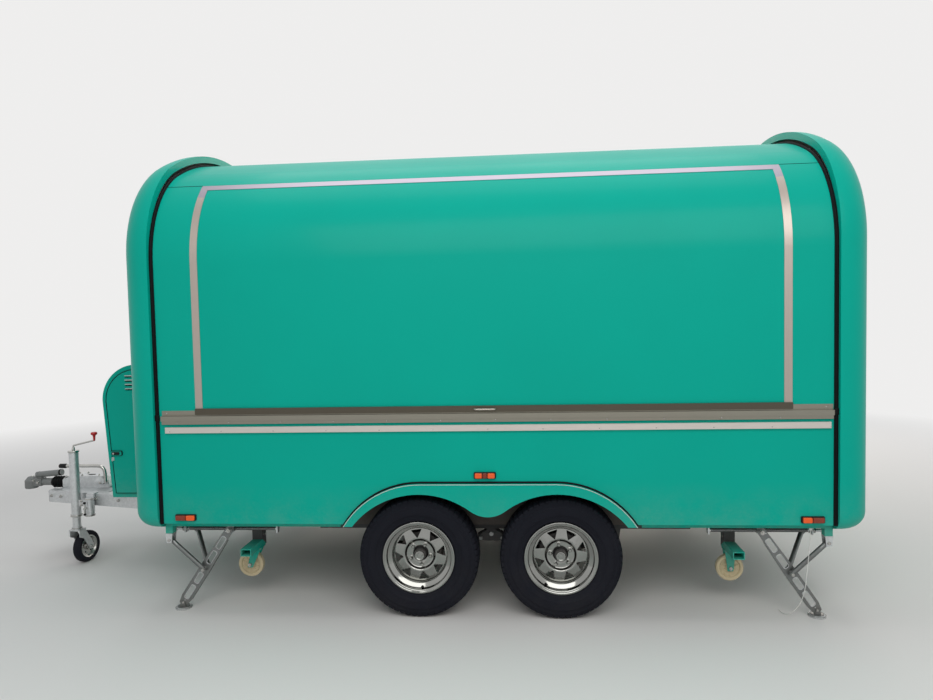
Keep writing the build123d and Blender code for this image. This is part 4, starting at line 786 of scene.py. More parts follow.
def road_wheel(name, x, side):
    """Plated wheel: stepped barrel, windowed disc, hub with its cap, five nuts, valve and drum."""
    piece = Piece(f"road_wheel_{name}", f"wheel_{name}", CHROME_PAINTED_DARK_REFLECTION, BLACK_PLASTIC, BLACK_RUBBER, BLACK_STEEL_AND_SHADE,
                  slot="wheel_silver")
    out = -Y
    wheel_disc(piece)
    barrel = piece.turned(BARREL, (0, 0, 0), Y, 96, closed=True)
    for face in faces_of(barrel):
        if face.calc_center_median().y > BARREL_DARK:
            face.material_index = 3
    piece.turned(HUB, (0, 0, 0), Y, 48, 3)
    nut = piece.hexagon((0, -5, NUT_CIRCLE), out, 19, 13)
    nut += piece.turned([(9.2, 0), (8.8, 4), (6, 8), (0, 9.5)], (0, -17.5, NUT_CIRCLE), out, 20)
    nut += piece.turned([(14, 0), (14, 1.5), (12.5, 2.5), (9, 2.6)], (0, -5, NUT_CIRCLE), out, 24)
    piece.move(nut, Matrix.Rotation(math.radians(NUT_TURN), 4, "Y"))
    piece.around(nut, (0, 0, 0), Y, 5)
    piece.turned([(38.4, 0), (38.4, 3.5), (36, 5), (34, 4), (33.2, 0)], (0, -4, 0), out, 48, 1)
    piece.turned([(27, 0), (27, 6), (24.5, 9), (20, 10), (18, 8.6), (13, 8.6), (12, 9.6), (0, 10)],
                 (0, -35, 0), out, 48)
    piece.turned([(7, 0), (7, 2), (5, 4), (4.2, 24), (4.6, 25), (4.6, 34), (3.8, 35.5), (0, 35.5)],
                 (-10, -46, -169), (0.06, -1, 0.32), 16, 2)
    weight = piece.block((-22, 22), (-81.6, -79.2), (-190, -183), 1.0)
    piece.move(weight, Matrix.Rotation(math.radians(14), 4, "Y"))
    stopped = Matrix.Rotation(math.radians(WHEELS_STOPPED[AXLES_X.index(x)]), 4, "Y")
    piece.all_moved(wheel_place(x, side) @ stopped)
    piece.done(35, replaces=(f"rim_{name}",))


for wheel_name, wheel_x, wheel_side in WHEELS:
    tyre_piece(wheel_name, wheel_x, wheel_side)
    road_wheel(wheel_name, wheel_x, wheel_side)


# Corner steadies and castors
# The leg starts at its head's bolt, slopes down by LEG_SLOPE degrees, and has these lengths along it.
HEAD = Vector((1450, -932, 449))
LEG_SLOPE = 55.82
KNEE_ALONG = 259.88
FOOT_ALONG = 506.5
LEG_WINDOWS = ((45, 125), (145, 227.9), (293.9, 363.9), (381.9, 472.5))
FOOT_Y = -922
KNEE_X, KNEE_Z = 1596, 234
BRACE_X, BRACE_Z = 1757, 418
SCREW_Y, SCREW_Z = -892, 449
SCREW_START, SCREW_STOP, SCREW_PITCH = 1196, 1700, 5.0
# From the middle of the body to each castor's post and axle, at the front and at the rear.
CASTOR_PLACES = {-1: (1350, 1390), 1: (1327, 1327)}
CASTOR_Y, CASTOR_Z = -770, 205


def at_corner(piece, end, side):
    """Mirrors a piece drawn at the near rear corner to its own corner, and ends it."""
    piece.all_moved(Matrix.Diagonal((end, -side, 1, 1))).done()


def steady_leg_fittings(name, end, side):
    """Rolled lips of the leg's windows, its bolts, and the rings of the foot pad."""
    piece = Piece(f"steady_leg_fittings_{name}", f"leg_{name}", ZINC, PLATED, slot="galvanised")
    for low, high in LEG_WINDOWS:
        loop = [(low, -0.2, -14), (high, -0.2, -14), (high, -0.2, 14), (low, -0.2, 14)]
        piece.pipe(loop, 1.9, sides=2, closed=True, bend=10)
    for along, size in ((0, 22), (KNEE_ALONG, 19), (FOOT_ALONG - 6, 13)):
        piece.bolt((along, 0, 0), -Y, size, 1)
    for along in (16, FOOT_ALONG - 22):
        piece.turned([(3.4, 0), (3.0, 1.4), (0, 1.8)], (along, -0.1, 13 if along < 100 else 0), -Y, 12)
    piece.all_moved(Matrix.Translation(HEAD) @ Matrix.Rotation(math.radians(LEG_SLOPE), 4, "Y"))
    foot_x = HEAD.x + FOOT_ALONG * math.cos(math.radians(LEG_SLOPE))
    foot = (foot_x, FOOT_Y, 0)
    piece.turned([(41, 8), (41, 10.5), (37, 12.2), (34, 10.5), (34, 8)], foot, Z, 40, closed=True)
    piece.turned([(45, 0.6), (45.8, 1.4), (45.8, 6.6), (45, 7.4)], foot, Z, 40)
    at_corner(piece, end, side)


def steady_brace_fittings(name, end, side):
    """The knee's nuts, and rings where the brace turns on its bracket."""
    piece = Piece(f"steady_brace_fittings_{name}", f"brace_{name}", PLATED, slot="galvanised")
    for y, out in ((-960, -1), (-880, 1)):
        piece.hexagon((KNEE_X, y, KNEE_Z), Y * out, 17, 9)
    for y in (-998.4, -981.6, -743.4, -726.6):
        piece.ring((BRACE_X, y, BRACE_Z), Y, 12.5, 1.5, 28, 6)
    at_corner(piece, end, side)


def steady_screw(name, end, side):
    """Rolled thread of the winding screw, its nut's edges and its bearing rings."""
    piece = Piece(f"steady_screw_{name}", "trailer", PLATED, BLACK_STEEL_AND_SHADE, slot="galvanised")
    profile = [(9.1, 0)]
    for step in range(int((SCREW_STOP - SCREW_START) / SCREW_PITCH)):
        along = step * SCREW_PITCH
        profile += [(9.1, along + 0.8), (10.6, along + 2.0), (10.6, along + 3.2), (9.1, along + 4.4)]
    # The thread is black as painted shade under the body.
    piece.turned(profile, (SCREW_START, SCREW_Y, SCREW_Z), X, 14, 1)
    for x in (1187.5, 1703, 1730):
        piece.collar(9.2, 14, 6, (x, SCREW_Y, SCREW_Z), X, 24)
    piece.hexagon((1800, SCREW_Y, SCREW_Z), X, 19, 9)
    piece.bar((1806, SCREW_Y, SCREW_Z - 8), (1806, SCREW_Y, SCREW_Z + 8), 3.2, sides=12)
    for x in (1431, 1466):
        piece.collar(10.7, 13, 3, (x, SCREW_Y, SCREW_Z), X, 24)
    for y in (-990, -735):
        for out in (-1, 1):
            piece.hexagon((BRACE_X, y + out * 24, BRACE_Z), Y * out, 15, 7)
    at_corner(piece, end, side)


def castor_fittings(name, end, side):
    """Moulded rings and ribs of the castor's wheel, and the bolts of its fork and post."""
    middle, axle = CASTOR_PLACES[end]
    piece = Piece(f"castor_rings_{name}", f"castor_{name}", CREAM_WHEEL, slot="castor_cream")
    for out in (-1, 1):
        for radius, thick, y in ((66.5, 1.6, 17.3), (62, 1.2, 17.2), (52.5, 1.6, 7.2), (44, 1.5, 7.2),
                                 (36, 1.5, 7.2), (21, 1.3, 17.4)):
            piece.ring((axle, CASTOR_Y + out * y, CASTOR_Z), Y, radius, thick, 48, 6)
        rib_y = sorted((CASTOR_Y + out * 6.5, CASTOR_Y + out * 11.5))
        rib = piece.block((axle - 1.6, axle + 1.6), rib_y, (232, 255), 0.8)
        piece.around(rib, (axle, CASTOR_Y, CASTOR_Z), Y, 10)
    at_corner(piece, end, side)
    fork = Piece(f"castor_bolts_{name}", "trailer", PLATED, FRAME_PAINT, slot="galvanised")
    for out in (-1, 1):
        fork.bolt((axle, CASTOR_Y + out * 27.7, CASTOR_Z), Y * out, 19)
    fork.block((middle - 34, middle + 34), (CASTOR_Y - 33, CASTOR_Y + 33), (303, 307), 1.2, 1)
    for out in (-1, 1):
        for across in (-23, 23):
            fork.hexagon((middle + out * 22, CASTOR_Y + across, 303), -Z, 13, 6)
        for z in (372, 452):
            fork.hexagon((middle + out * 30, CASTOR_Y + 25, z), X * out, 14, 7)
    at_corner(fork, end, side)


for corner_name, corner_end, corner_side in CORNERS:
    steady_leg_fittings(corner_name, corner_end, corner_side)
    steady_brace_fittings(corner_name, corner_end, corner_side)
    steady_screw(corner_name, corner_end, corner_side)
    castor_fittings(corner_name, corner_end, corner_side)


# Fender edging, sill, seals and lamps
FENDER_HALF, FENDER_FLAT, FENDER_TOP, FENDER_BASE = 773, 360, 742, 515


def fender_edge(inset=0.0):
    """The fender's upper outline from front to rear, as (x, z), moved inwards by inset."""
    run, rise = FENDER_HALF - FENDER_FLAT, FENDER_TOP - FENDER_BASE
    radius = (run * run + rise * rise) / (2 * rise)
    turn = math.asin(run / radius)
    half = []
    for step in range(13):
        a = turn * (1 - step / 12)
        half.append((FENDER_FLAT + (radius - inset) * math.sin(a),
                     FENDER_TOP - radius + (radius - inset) * math.cos(a)))
    return ([(AXLES_MIDDLE - x, z) for x, z in half]
            + [(AXLES_MIDDLE + x, z) for x, z in reversed(half)])


def fender_edging(side):
    """Black seal above the fender's outline, and a white line on its lip that is a painted highlight."""
    word = "near" if side < 0 else "far"
    piece = Piece(f"fender_edging_{word}", "trailer", BLACK_RUBBER, WHITE_TAG_AND_PAINTED_HIGHLIGHT, slot="rubber_black")
    piece.pipe([(x, side * (HALF_WIDTH + 2.5), z + 4.5) for x, z in fender_edge()], 5.5, sides=3)
    # The white line is a painted highlight on the fender's lit edge.
    piece.pipe([(x, side * (HALF_WIDTH + 25.0), z) for x, z in fender_edge(2.5)], 1.6, 1, sides=2)
    piece.done(50)


# Middle of each lamp, and its lenses: start, end, and the number of the finish, 1 bright or 2 deep amber.
MARKERS = (
    (-1634, 558, ((-52, 4, 2), (7, 52, 1))),
    (1, 785, ((-52, -15, 1), (-12, 12, 2), (15, 52, 1))),
    (1660, 553, ((-52, -7, 1), (-4, 52, 2))),
)


def side_markers():
    """Black housings with plain bright lenses beside dark ribbed ones."""
    piece = Piece("side_marker_lamps", "trailer", BLACK_PLASTIC, AMBER, DEEP_AMBER, slot="amber")
    for x, z, lenses in MARKERS:
        for side in (-1, 1):
            def deep(low, high):
                return sorted((side * (HALF_WIDTH + low), side * (HALF_WIDTH + high)))
            piece.slab((x - 58.5, x + 58.5), deep(0, 9), (z - 17.5, z + 17.5), 6, Y, 1.5)
            for low, high, finish in lenses:
                piece.slab((x + low, x + high), deep(8, 21.5), (z - 13.5, z + 13.5), 5, Y, 3.0, finish)
                for step in range(1, 9 if finish == 2 else 1):
                    across = x + low + (high - low) * step / 9
                    piece.block((across - 0.7, across + 0.7), deep(21, 21.9), (z - 10, z + 10), 0.3, 2, 1)
    piece.done(30, replaces=("side_markers",))


TAIL_LAMP_Y = 820


def tail_lamps():
    """Upright clusters with a clear, an amber and a red lens, each with fine ribs."""
    piece = Piece("tail_lamp_clusters", "trailer", BLACK_PLASTIC, RED_LENS, AMBER, CLEAR_LENS, PLATED,
                  slot="red_lens")
    for y in (-TAIL_LAMP_Y, TAIL_LAMP_Y):
        piece.slab((CAP_END, CAP_END + 12), (y - 50, y + 50), (780, 990), 14, X, 2)
        for low, high, finish in ((787, 843, 3), (847, 903, 2), (907, 983, 1)):
            piece.slab((CAP_END + 11, CAP_END + 29), (y - 43, y + 43), (low, high), 9, X, 4, finish)
            for step in range(1, 8):
                z = low + (high - low) * step / 8
                rib = (CAP_END + 28.5, CAP_END + 29.6)
                piece.block(rib, (y - 36, y + 36), (z - 0.8, z + 0.8), 0.4, finish, 1)
        piece.bar((CAP_END + 28, y, 945), (CAP_END + 29.8, y, 945), 22, 20, 32, edge=0.5, finish=1)
        for z in (784, 986):
            piece.screw((CAP_END + 12, y, z), X, 3.4, 4)
    piece.done(30, replaces=("tail_lamps",))


def number_plate():
    """A blank plate in its holder, and the lamp above it."""
    piece = Piece("blank_number_plate", "trailer", BLACK_PLASTIC, BLANK_PLATE, PLATED, CLEAR_LENS,
                  slot="black_plastic")
    piece.slab((CAP_END, CAP_END + 6), (-905, -375), (662, 782), 8, X, 1.5)
    piece.slab((CAP_END + 5, CAP_END + 8), (-898, -382), (669, 776), 6, X, 0.8, 1)
    for y in (-780, -500):
        piece.screw((CAP_END + 8, y, 723), X, 4, 2)
    piece.slab((CAP_END, CAP_END + 34), (-700, -580), (800, 828), 8, X, 3)
    piece.block((CAP_END + 6, CAP_END + 30), (-690, -590), (797, 801), 1, 3)
    piece.done(30)


def rail_details():
    """Screws along the stainless rails, and the black plugs where they meet the seals."""
    piece = Piece("rail_screws", "trailer", PLATED, BLACK_RUBBER, slot="stainless")
    for step in range(13):
        for start, out, z, radius in ((-1720, 2, 1128, 3.6), (-1660, 10, 1078, 3.6), (-1700, 14, 1030, 3.2)):
            piece.screw((start + step * 287, -HALF_WIDTH - out, z), -Y, radius)
    for x in (-SEAL_X, SEAL_X):
        piece.slab((x - 13, x + 13), (-HALF_WIDTH - 14, -HALF_WIDTH), (1086, 1122), 8, Y, 3, 1)
    piece.done()


# The body's arch: a tight corner from each side into a flatter roof, in millimetres and degrees.
BODY_TOP, CORNER_RADIUS, CORNER_TURN, SEAM_TURN = 2636, 590, 64, 48


def seal_beads():
    """A round bead on each rubber seal, and thin joints where the roof meets the sides."""
    reach = (HALF_WIDTH - CORNER_RADIUS) / math.cos(math.radians(CORNER_TURN))
    spring = BODY_TOP - CORNER_RADIUS - reach + reach * math.sin(math.radians(CORNER_TURN))
    roof = CORNER_RADIUS + reach

    def on_arch(degrees, proud):
        """The point (y, z) of the arch at that many degrees round from the side."""
        a = math.radians(degrees)
        if degrees <= CORNER_TURN:
            radius = CORNER_RADIUS + proud
            return HALF_WIDTH - CORNER_RADIUS + radius * math.cos(a), spring + radius * math.sin(a)
        return (roof + proud) * math.cos(a), BODY_TOP - roof + (roof + proud) * math.sin(a)

    proud = 6.0
    half = [(HALF_WIDTH + proud, 522), (HALF_WIDTH + proud, spring)]
    half += [on_arch(CORNER_TURN * step / 12, proud) for step in range(1, 13)]
    half += [on_arch(CORNER_TURN + (90 - CORNER_TURN) * step / 8, proud) for step in range(1, 9)]
    arch = half + [(-y, z) for y, z in reversed(half[:-1])]
    piece = Piece("seal_beads", "trailer", BLACK_RUBBER, slot="rubber_black")
    for x in (-SEAL_X, SEAL_X):
        piece.pipe([(x, y, z) for y, z in arch], 4.5, sides=3)
    y, z = on_arch(SEAM_TURN, 0)
    for start, end, side in ((-1761, -1557, -1), (1561, 1761, -1), (-1761, 1761, 1)):
        piece.bar((start, side * y, z), (end, side * y, z), 1.6, sides=8)
    piece.done(60)


for edging_side in (-1, 1):
    fender_edging(edging_side)
side_markers()
tail_lamps()
number_plate()
rail_details()
seal_beads()


# Gas and tool box
BOX_DOOR_FACE = -347.3
BOX_FRONT, BOX_REAR, BOX_BASE, BOX_TOP, BOX_CORNER, BOX_RAKE = -2535, -1990, 480, 1352, 235, 42
BOX_HINGE_X, BOX_HINGE_HEIGHTS = -2017.5, (560, 905, 1250)
LOUVRES_X, LOUVRE_HEIGHTS = (-2370, -2250), (1190, 1218, 1246, 1274)


def box_door_line(inset):
    """The box's side outline, moved inwards by inset, as (x, z)."""
    front, rear, base, top = BOX_FRONT + inset, BOX_REAR - inset, BOX_BASE + inset, BOX_TOP - inset
    corner = BOX_CORNER - inset
    arc = []
    for step in range(9):
        a = math.radians(90 * step / 8)
        arc.append((front + corner * (1 - math.cos(a)), top - corner * (1 - math.sin(a))))
    return [(front + BOX_RAKE, base), *arc, (rear, top), (rear, base)]


def box_fittings():
    """The door's latch, lips, seal line and hinge leaves, and the leaves on the box itself."""
    piece = Piece("box_door_fittings", "box_lid", PLATED, BLACK_PLASTIC, BLACK_RUBBER, LOUVRE_LIP_PAINTED_HIGHLIGHT, WHITE_TAG_AND_PAINTED_HIGHLIGHT,
                  slot="stainless")
    face = BOX_DOOR_FACE
    piece.slab((-2486, -2405), (face - 9, face), (758, 792), 10, Y, 2, 1)
    piece.slab((-2475, -2419), (face - 16, face - 8), (765, 785), 7, Y, 2, 1)
    piece.bar((-2461, face - 17.5, 775), (-2461, face - 15, 775), 6, 5.6, 20)
    # The louvre lips are pale as a painted highlight on their top edges.
    for z in LOUVRE_HEIGHTS:
        piece.slab(LOUVRES_X, (face - 4.2, face), (z + 3, z + 11), 3.9, Y, 1.4, 3)
    piece.slab((-2480, -2464), (face - 5, face), (726, 748), 3, Y, 1, 4)
    hook = ((4, 742), (16, 742), (16, 730), (11, 724))
    piece.pipe([(-2472, face - out, z) for out, z in hook], 2.2, 4, sides=3, bend=6)
    piece.pipe([(x, face - 0.4, z) for x, z in box_door_line(31)], 2.6, 2, sides=2, closed=True)
    for z in BOX_HINGE_HEIGHTS:
        piece.bar((BOX_HINGE_X, face - 2.5, z - 34), (BOX_HINGE_X, face - 2.5, z - 0.4), 5.5, sides=20)
        piece.slab((-2052, -2022), (face - 2.2, face), (z - 34, z - 0.4), 3, Y)
        for x in (-2043, -2031):
            piece.screw((x, face - 2.2, z - 17), -Y, 3)
    piece.done()
    shell = Piece("box_shell_fittings", "trailer", PLATED, slot="stainless")
    for z in BOX_HINGE_HEIGHTS:
        shell.bar((BOX_HINGE_X, face - 2.5, z + 0.4), (BOX_HINGE_X, face - 2.5, z + 34), 5.5, sides=20)
        shell.slab((-2015, -1992), (face - 1, -335), (z + 0.4, z + 34), 3, Y)
        shell.screw((-2003, face - 1, z + 17), -Y, 3)
    shell.done()


box_fittings()


# Drawbar, coupling and nose wheel
BEAM_TIP_X, BEAM_TIP_Y, BEAM_TURN = -3071, 120, math.radians(13)
COUPLING_Z = 505


def beam_y(x):
    """The middle line of the far beam, which spreads from its tip to the rear."""
    return BEAM_TIP_Y + (x - BEAM_TIP_X) * math.tan(BEAM_TURN)


def drawbar_fittings():
    """Bolts of the beams and the apex plate, the beams' end plugs, and rings of the coupling's shaft."""
    piece = Piece("drawbar_fittings", "trailer", PLATED, BLACK_PLASTIC, slot="galvanised")
    for side in (-1, 1):
        normal = Vector((-math.sin(BEAM_TURN), side * math.cos(BEAM_TURN), 0))
        for x in (-3040, -2960, -2740, -2660, -2480, -2050, -1930):
            piece.bolt(Vector((x, side * beam_y(x), 445)) + normal * 30, normal, 17)
        for x in (-1717, -1183):
            for step in (-1, 1):
                piece.bolt((x + step * 28, side * beam_y(x + step * 28), 400), -Z, 17)
        piece.block((BEAM_TIP_X - 4, BEAM_TIP_X + 1), sorted((side * 92, side * 148)), (404, 476), 1.5, 1)
    for x in (-2965, -2900, -2775, -2730):
        for side in (-1, 1):
            piece.bolt((x, side * 36, 555), Z, 13)
    piece.slab((-2875, -2825), (-13, 13), (554, 556.5), 12, Z, 0, 1)
    piece.collar(33, 39.5, 5, (-3046, 0, COUPLING_Z), X, 40)
    piece.collar(25.5, 31, 6, (-3140, 0, COUPLING_Z), X, 40, 1)
    piece.done()


def coupling_fittings():
    """Grip rings, bolts and the wear indicator's cap on the coupling head."""
    piece = Piece("coupling_fittings", "trailer", PLATED, BLACK_PLASTIC, CAST, slot="cast_grey")
    ball_x = -3306
    slope = Vector((192, 0, 18))
    piece.turned([(21.2, 0), (22.6, 2), (22.6, 12), (21.2, 14)], (ball_x + 216, 0, 571.2), slope, 32, 1)
    piece.ring((ball_x + 60, 0, 556.6), slope, 21, 1.6, 32, 6, 2)
    for out in (-1, 1):
        piece.bolt((ball_x + 68, out * 30, COUPLING_Z), Y * out, 17)
    piece.bolt((ball_x + 38, -30, 520), -Y, 13)
    piece.turned([(10, 0), (10, 4), (7, 7), (0, 8)], (ball_x + 8, 0, 542.6), Z, 24)
    piece.done()


def handbrake():
    """Bent lever with its grip and button, on a toothless sector."""
    piece = Piece("handbrake_lever_bar", "trailer", PLATED, BLACK_PLASTIC, ZINC, RED_KNOB,
                  slot="black_plastic")
    x, y, low, top = -2713, -64, 508, 631
    pivot = x - 34
    piece.pipe([(x, y, low), (x, y, top), (-3000, y, top)], 12, sides=6, bend=60)
    piece.turned([(11.2, 0), (14, 2), (16.5, 8), (15.4, 14), (16.6, 20), (15.4, 26), (16.6, 32), (15.4, 38),
                  (16.2, 46), (14, 52), (0, 54)], (-2991, y, top), -X, 28, 1)
    piece.bar((-3044, y, top), (-3050, y, top), 6, 5.5, 20, edge=1, finish=3)
    piece.slab((x - 16, x), (y - 6.4, y - 6), (504, 513), 4, Y, 0, 1)
    piece.slab((x - 46, x + 12), (y - 6, y + 6), (low - 8, low + 16), 8, Y, 2, 2)
    piece.bolt((pivot, y - 6, low + 4), -Y, 17)
    piece.bar((pivot, y + 6, low + 4), (pivot, -48.2, low + 4), 12, sides=24, finish=2)
    sector = piece.bar((pivot, y - 11, low + 4), (pivot, y - 7, low + 4), 40, sides=40, edge=1, finish=2)
    bmesh.ops.bisect_plane(piece.bm, geom=with_faces(sector), plane_co=(pivot, y, low + 2), plane_no=Z,
                           clear_inner=True)
    piece.done(replaces=("handbrake_lever",))


JOCKEY_X, JOCKEY_Y, JOCKEY_TURN = -2800, -265, 85
JOCKEY_REACH, JOCKEY_AXLE = 80, 105


def jockey_pieces():
    """Nose wheel: crank handle, rings and clamp of the post, bolts of the fork, and the wheel."""
    x, y = JOCKEY_X, JOCKEY_Y
    crank = Piece("jockey_crank_handle", "trailer", PLATED, RED_KNOB, slot="galvanised")
    crank.bar((x, y, 778.3), (x, y, 800), 10, 9.4, edge=1)
    crank.pipe([(x, y, 796), (x, y, 812), (x + 150, y, 846)], 6, sides=5, bend=14)
    crank.turned([(4.5, 0), (6.5, 2), (7, 14), (8, 28), (10, 37), (17, 41), (20, 45), (20.5, 51), (18, 57),
                  (10, 59), (0, 59)], (x + 150, y, 843), Z, 32, 1)
    crank.done(replaces=("jockey_crank",))
    post = Piece("jockey_post_fittings", "trailer", PLATED, BLACK_PLASTIC, ZINC, slot="galvanised")
    post.turned([(30.2, 0), (36, 0), (36.6, 2), (36.6, 10), (36, 12), (30.2, 12)], (x, y, 334), Z, 40)
    post.turned([(30.2, 0), (34.6, 1), (35, 3), (35, 11), (33, 13.4), (10.4, 14)], (x, y, 766), Z, 40)
    post.ring((x, y, 700), Z, 30, 1.1, 40, 6, 2)
    clamp_x = x + 100
    beam_face = -beam_y(clamp_x) - 30.8
    for z in (338, 450):
        post.turned([(29.2, 0), (32, 1), (32, 9), (29.2, 10)], (clamp_x, beam_face - 34, z), Z, 36)
    for z in (368, 392, 416):
        post.ring((clamp_x, beam_face - 34, z), Z, 29.2, 1.6, 36, 6, 2)
    screw_x, grip_y = clamp_x - 4, beam_face - 84
    post.bar((screw_x, beam_face - 62, 398), (screw_x, beam_face - 92, 398), 8, sides=20, edge=1)
    post.bar((screw_x, grip_y, 360), (screw_x, grip_y, 436), 5.5, sides=16, edge=1)
    for z in (360, 436):
        post.turned([(5.5, -7), (8.4, -5), (9, 0), (8.4, 5), (5.5, 7)], (screw_x, grip_y, z), Z, 20, 1)
    for z in (412, 438):
        post.bolt((x + 46, y - 12, z), -Y, 15)
    post.done()
    turn = Matrix.Translation((x, y, 0)) @ Matrix.Rotation(math.radians(JOCKEY_TURN), 4, "Z")
    fork = Piece("jockey_fork_fittings", "jockey_swivel", PLATED, slot="galvanised")
    for out in (-1, 1):
        fork.bolt((JOCKEY_REACH, out * 40, JOCKEY_AXLE), Y * out, 17)
    fork.turned([(30.2, 0), (32.4, 1), (32.4, 8), (30.2, 9)], (0, 0, 250), Z, 36)
    fork.all_moved(turn)
    fork.done()
    wheel = Piece("jockey_wheel_tyre", "jockey_roller", TYRE, PLATED, slot="tyre_black")
    axle = (JOCKEY_REACH, 0, JOCKEY_AXLE)
    wheel.turned([(74, -22), (80, -27), (96, -28), (102, -22), (104.6, -10), (105, 0), (104.6, 10),
                  (102, 22), (96, 28), (80, 27), (74, 22)], axle, Y, 56, closed=True)
    for y_rib in (-14, -5, 5, 14):
        wheel.ring((JOCKEY_REACH, y_rib, JOCKEY_AXLE), Y, 103.2, 1.4, 56, 6)
    for out in (-1, 1):
        wheel.turned([(8.4, 26), (21, 26), (23, 24), (25, 9), (58, 9), (66, 22), (73, 24.5), (75, 23),
                      (73, 20)], axle, Y * out, 48, 1)
        hole = wheel.turned([(6, 9.6), (5.2, 9.9), (0, 9.9)], (JOCKEY_REACH, 0, 147), Y * out, 14)
        wheel.around(hole, axle, Y, 5)
    wheel.all_moved(turn)
    wheel.done(replaces=("jockey_wheel",))


drawbar_fittings()
coupling_fittings()
handbrake()
jockey_pieces()


# Springs under the floor
SPRING_Y, SPRING_HALF = 690, 320


def spring_clamps():
    """U-bolts and pads that hold the leaves to the axles, and the hanger bolts."""
    piece = Piece("spring_clamps", "trailer", DULL_ZINC, BLACK_STEEL_AND_SHADE, slot="bare_steel")
    for side in (-1, 1):
        y = side * SPRING_Y
        for x in AXLES_X:
            piece.block((x - 48, x + 48), (y - 34, y + 34), (257, 266.5), 1.5, 1)
            for along in (-33, 33):
                bend = ((-29, 250), (-29, 362), (29, 362), (29, 250))
                piece.pipe([(x + along, y + across, z) for across, z in bend], 5, bend=14)
                for across in (-29, 29):
                    piece.hexagon((x + along, y + across, 257), -Z, 15, 8)
            for along in (-SPRING_HALF, SPRING_HALF):
                for out in (-1, 1):
                    piece.hexagon((x + along, y + out * 30, 344.4), Y * out, 19, 9)
        for out in (-1, 1):
            piece.hexagon((AXLES_MIDDLE, y + out * 36, 372), Y * out, 22, 11)
    for x in AXLES_X:
        brake_pipe = ((-780, 346), (-400, 352), (0, 356), (400, 352), (780, 346))
        piece.pipe([(x + 30, y, z) for y, z in brake_pipe], 4, 1)
    piece.done()


spring_clamps()


# Cord below the rear corner
CORD_ROUTE = (
    (1670, -999, 483), (1667, -1003, 427), (1661, -1005, 370), (1657, -1004, 312), (1652, -1001, 254),
    (1648, -998, 197), (1641, -991, 141), (1629, -979, 89), (1609, -961, 46), (1589, -941, 17),
    (1571, -918, 4), (1563, -886, 3), (1562, -854, 3),
)


def white_cord():
    """The loose cord, from its gland under the body to its bare end on the ground."""
    line = bpy.data.curves.new("loose_white_cord", "CURVE")
    line.dimensions = "3D"
    spline = line.splines.new("NURBS")
    spline.points.add(len(CORD_ROUTE) - 1)
    for target, place in zip(spline.points, CORD_ROUTE):
        target.co = (*spot(*place), 1)
    spline.order_u = 3
    spline.use_endpoint_u = True
    line.bevel_depth = 0.002
    line.bevel_resolution = 4
    line.use_fill_caps = True
    line.materials.append(WHITE_CORD)
    made = new_object("loose_white_cord", line)
    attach(made, "trailer")
    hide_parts("cord")


white_cord()


# Camera, floor and light
BACKGROUND = (0.86, 0.855, 0.85, 1)
CAMERA_PLACE = (215.4, -4670.1, 1623.5)
CAMERA_TURNS = (0.0818, 0.0493, -0.0216)
FOCAL_PIXELS, IMAGE_WIDTH = 697.98, 933


def look_camera():
    """The photograph's viewing place, solved from the wheels, the body's edges and the hatch."""
    yaw, pitch, roll = CAMERA_TURNS
    ahead = Vector((-math.sin(yaw) * math.cos(pitch), math.cos(yaw) * math.cos(pitch), -math.sin(pitch)))
    right = Vector((math.cos(yaw), math.sin(yaw), 0))
    up = right.cross(ahead)
    right, up = (math.cos(roll) * right + math.sin(roll) * up,
                 -math.sin(roll) * right + math.cos(roll) * up)
    lens_data = bpy.data.cameras.new("photo_camera")
    lens_data.sensor_width = 36.0
    lens_data.lens = lens_data.sensor_width * FOCAL_PIXELS / IMAGE_WIDTH
    lens_data.clip_end = 100.0
    camera = new_object("photo_camera", lens_data)
    turn = Matrix((right, up, -ahead)).transposed().to_4x4()
    camera.matrix_world = Matrix.Translation(spot(*CAMERA_PLACE)) @ turn
    bpy.context.scene.camera = camera


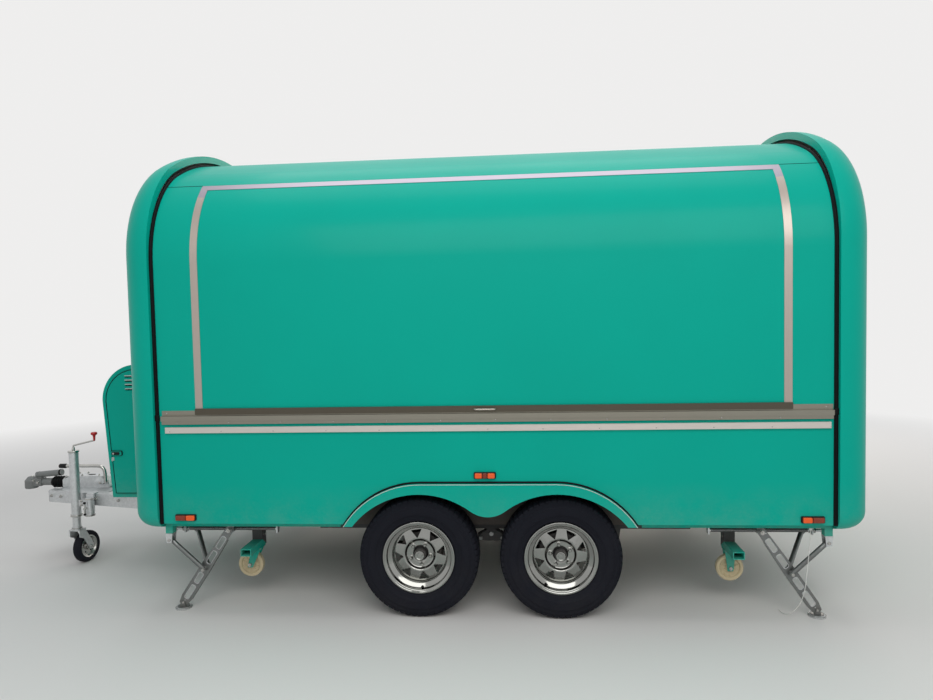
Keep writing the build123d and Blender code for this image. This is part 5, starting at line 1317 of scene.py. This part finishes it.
def far_away(finish):
    """Lets the floor pass into the plain background beyond the object's shadow, where it is seen."""
    tree = finish.tree
    reach = tree.add("ShaderNodeVectorMath", operation="LENGTH")
    tree.join(tree.place(), reach.inputs[0])
    glow = tree.add("ShaderNodeEmission")
    glow.inputs["Color"].default_value = BACKGROUND
    both = tree.add("ShaderNodeMixShader")
    beyond = tree.ramp(reach.outputs["Value"], 4.2, 9.0)
    tree.join(tree.math("MULTIPLY", beyond, tree.seen()), both.inputs[0])
    tree.join(finish.shader.outputs[0], both.inputs[1])
    tree.join(glow.outputs[0], both.inputs[2])
    tree.join(both.outputs[0], tree.tree.nodes["Material Output"].inputs["Surface"])


def pale_floor():
    bm = bmesh.new()
    bmesh.ops.create_grid(bm, x_segments=1, y_segments=1, size=30)
    data = bpy.data.meshes.new("pale_floor")
    bm.to_mesh(data)
    bm.free()
    finish = Finish("pale_floor_coat", (0.74, 0.73, 0.71), 0.0, 0.8)
    far_away(finish)
    data.materials.append(finish.done())
    made = new_object("pale_floor", data)


def lamp(name, place, target, size, power, colour):
    light = bpy.data.lights.new(name, "AREA")
    light.shape = "RECTANGLE"
    light.size, light.size_y = size
    light.energy = power
    light.color = colour
    made = new_object(name, light)
    turn = (spot(*target) - spot(*place)).to_track_quat("-Z", "Y").to_matrix().to_4x4()
    made.matrix_world = Matrix.Translation(spot(*place)) @ turn


def soft_world():
    """A soft sky that lights the object, shown as the plain background."""
    world = bpy.data.worlds.new("soft_sky")
    bpy.context.scene.world = world
    world.use_nodes = True
    tree = Tree(world.node_tree)
    shade = world.node_tree.nodes["Background"]
    shown = tree.seen()
    place = tree.add("ShaderNodeTexCoord")
    split = tree.add("ShaderNodeSeparateXYZ")
    tree.join(place.outputs["Generated"], split.inputs[0])
    rise = tree.ramp(split.outputs["Z"], -0.05, 0.55)
    sky = tree.mix(rise, (0.92, 0.83, 0.74, 1), (0.80, 0.84, 0.90, 1))
    tree.join(tree.mix(shown, sky, BACKGROUND), shade.inputs["Color"])
    tree.join(tree.blend(shown, 0.50, 1.0), shade.inputs["Strength"])


look_camera()
pale_floor()
soft_world()
lamp("wide_front_light", (600, -5200, 4200), (0, -900, 1200), (6.0, 3.0), 150, (1.0, 0.98, 0.95))
lamp("top_light", (0, 400, 6500), (0, 0, 1200), (6.0, 5.0), 150, (1.0, 1.0, 1.0))
lamp("warm_back_light", (2500, 6000, 3000), (0, 0, 1200), (5.0, 3.0), 120, (1.0, 0.90, 0.80))
bpy.context.scene.view_settings.view_transform = "Standard"
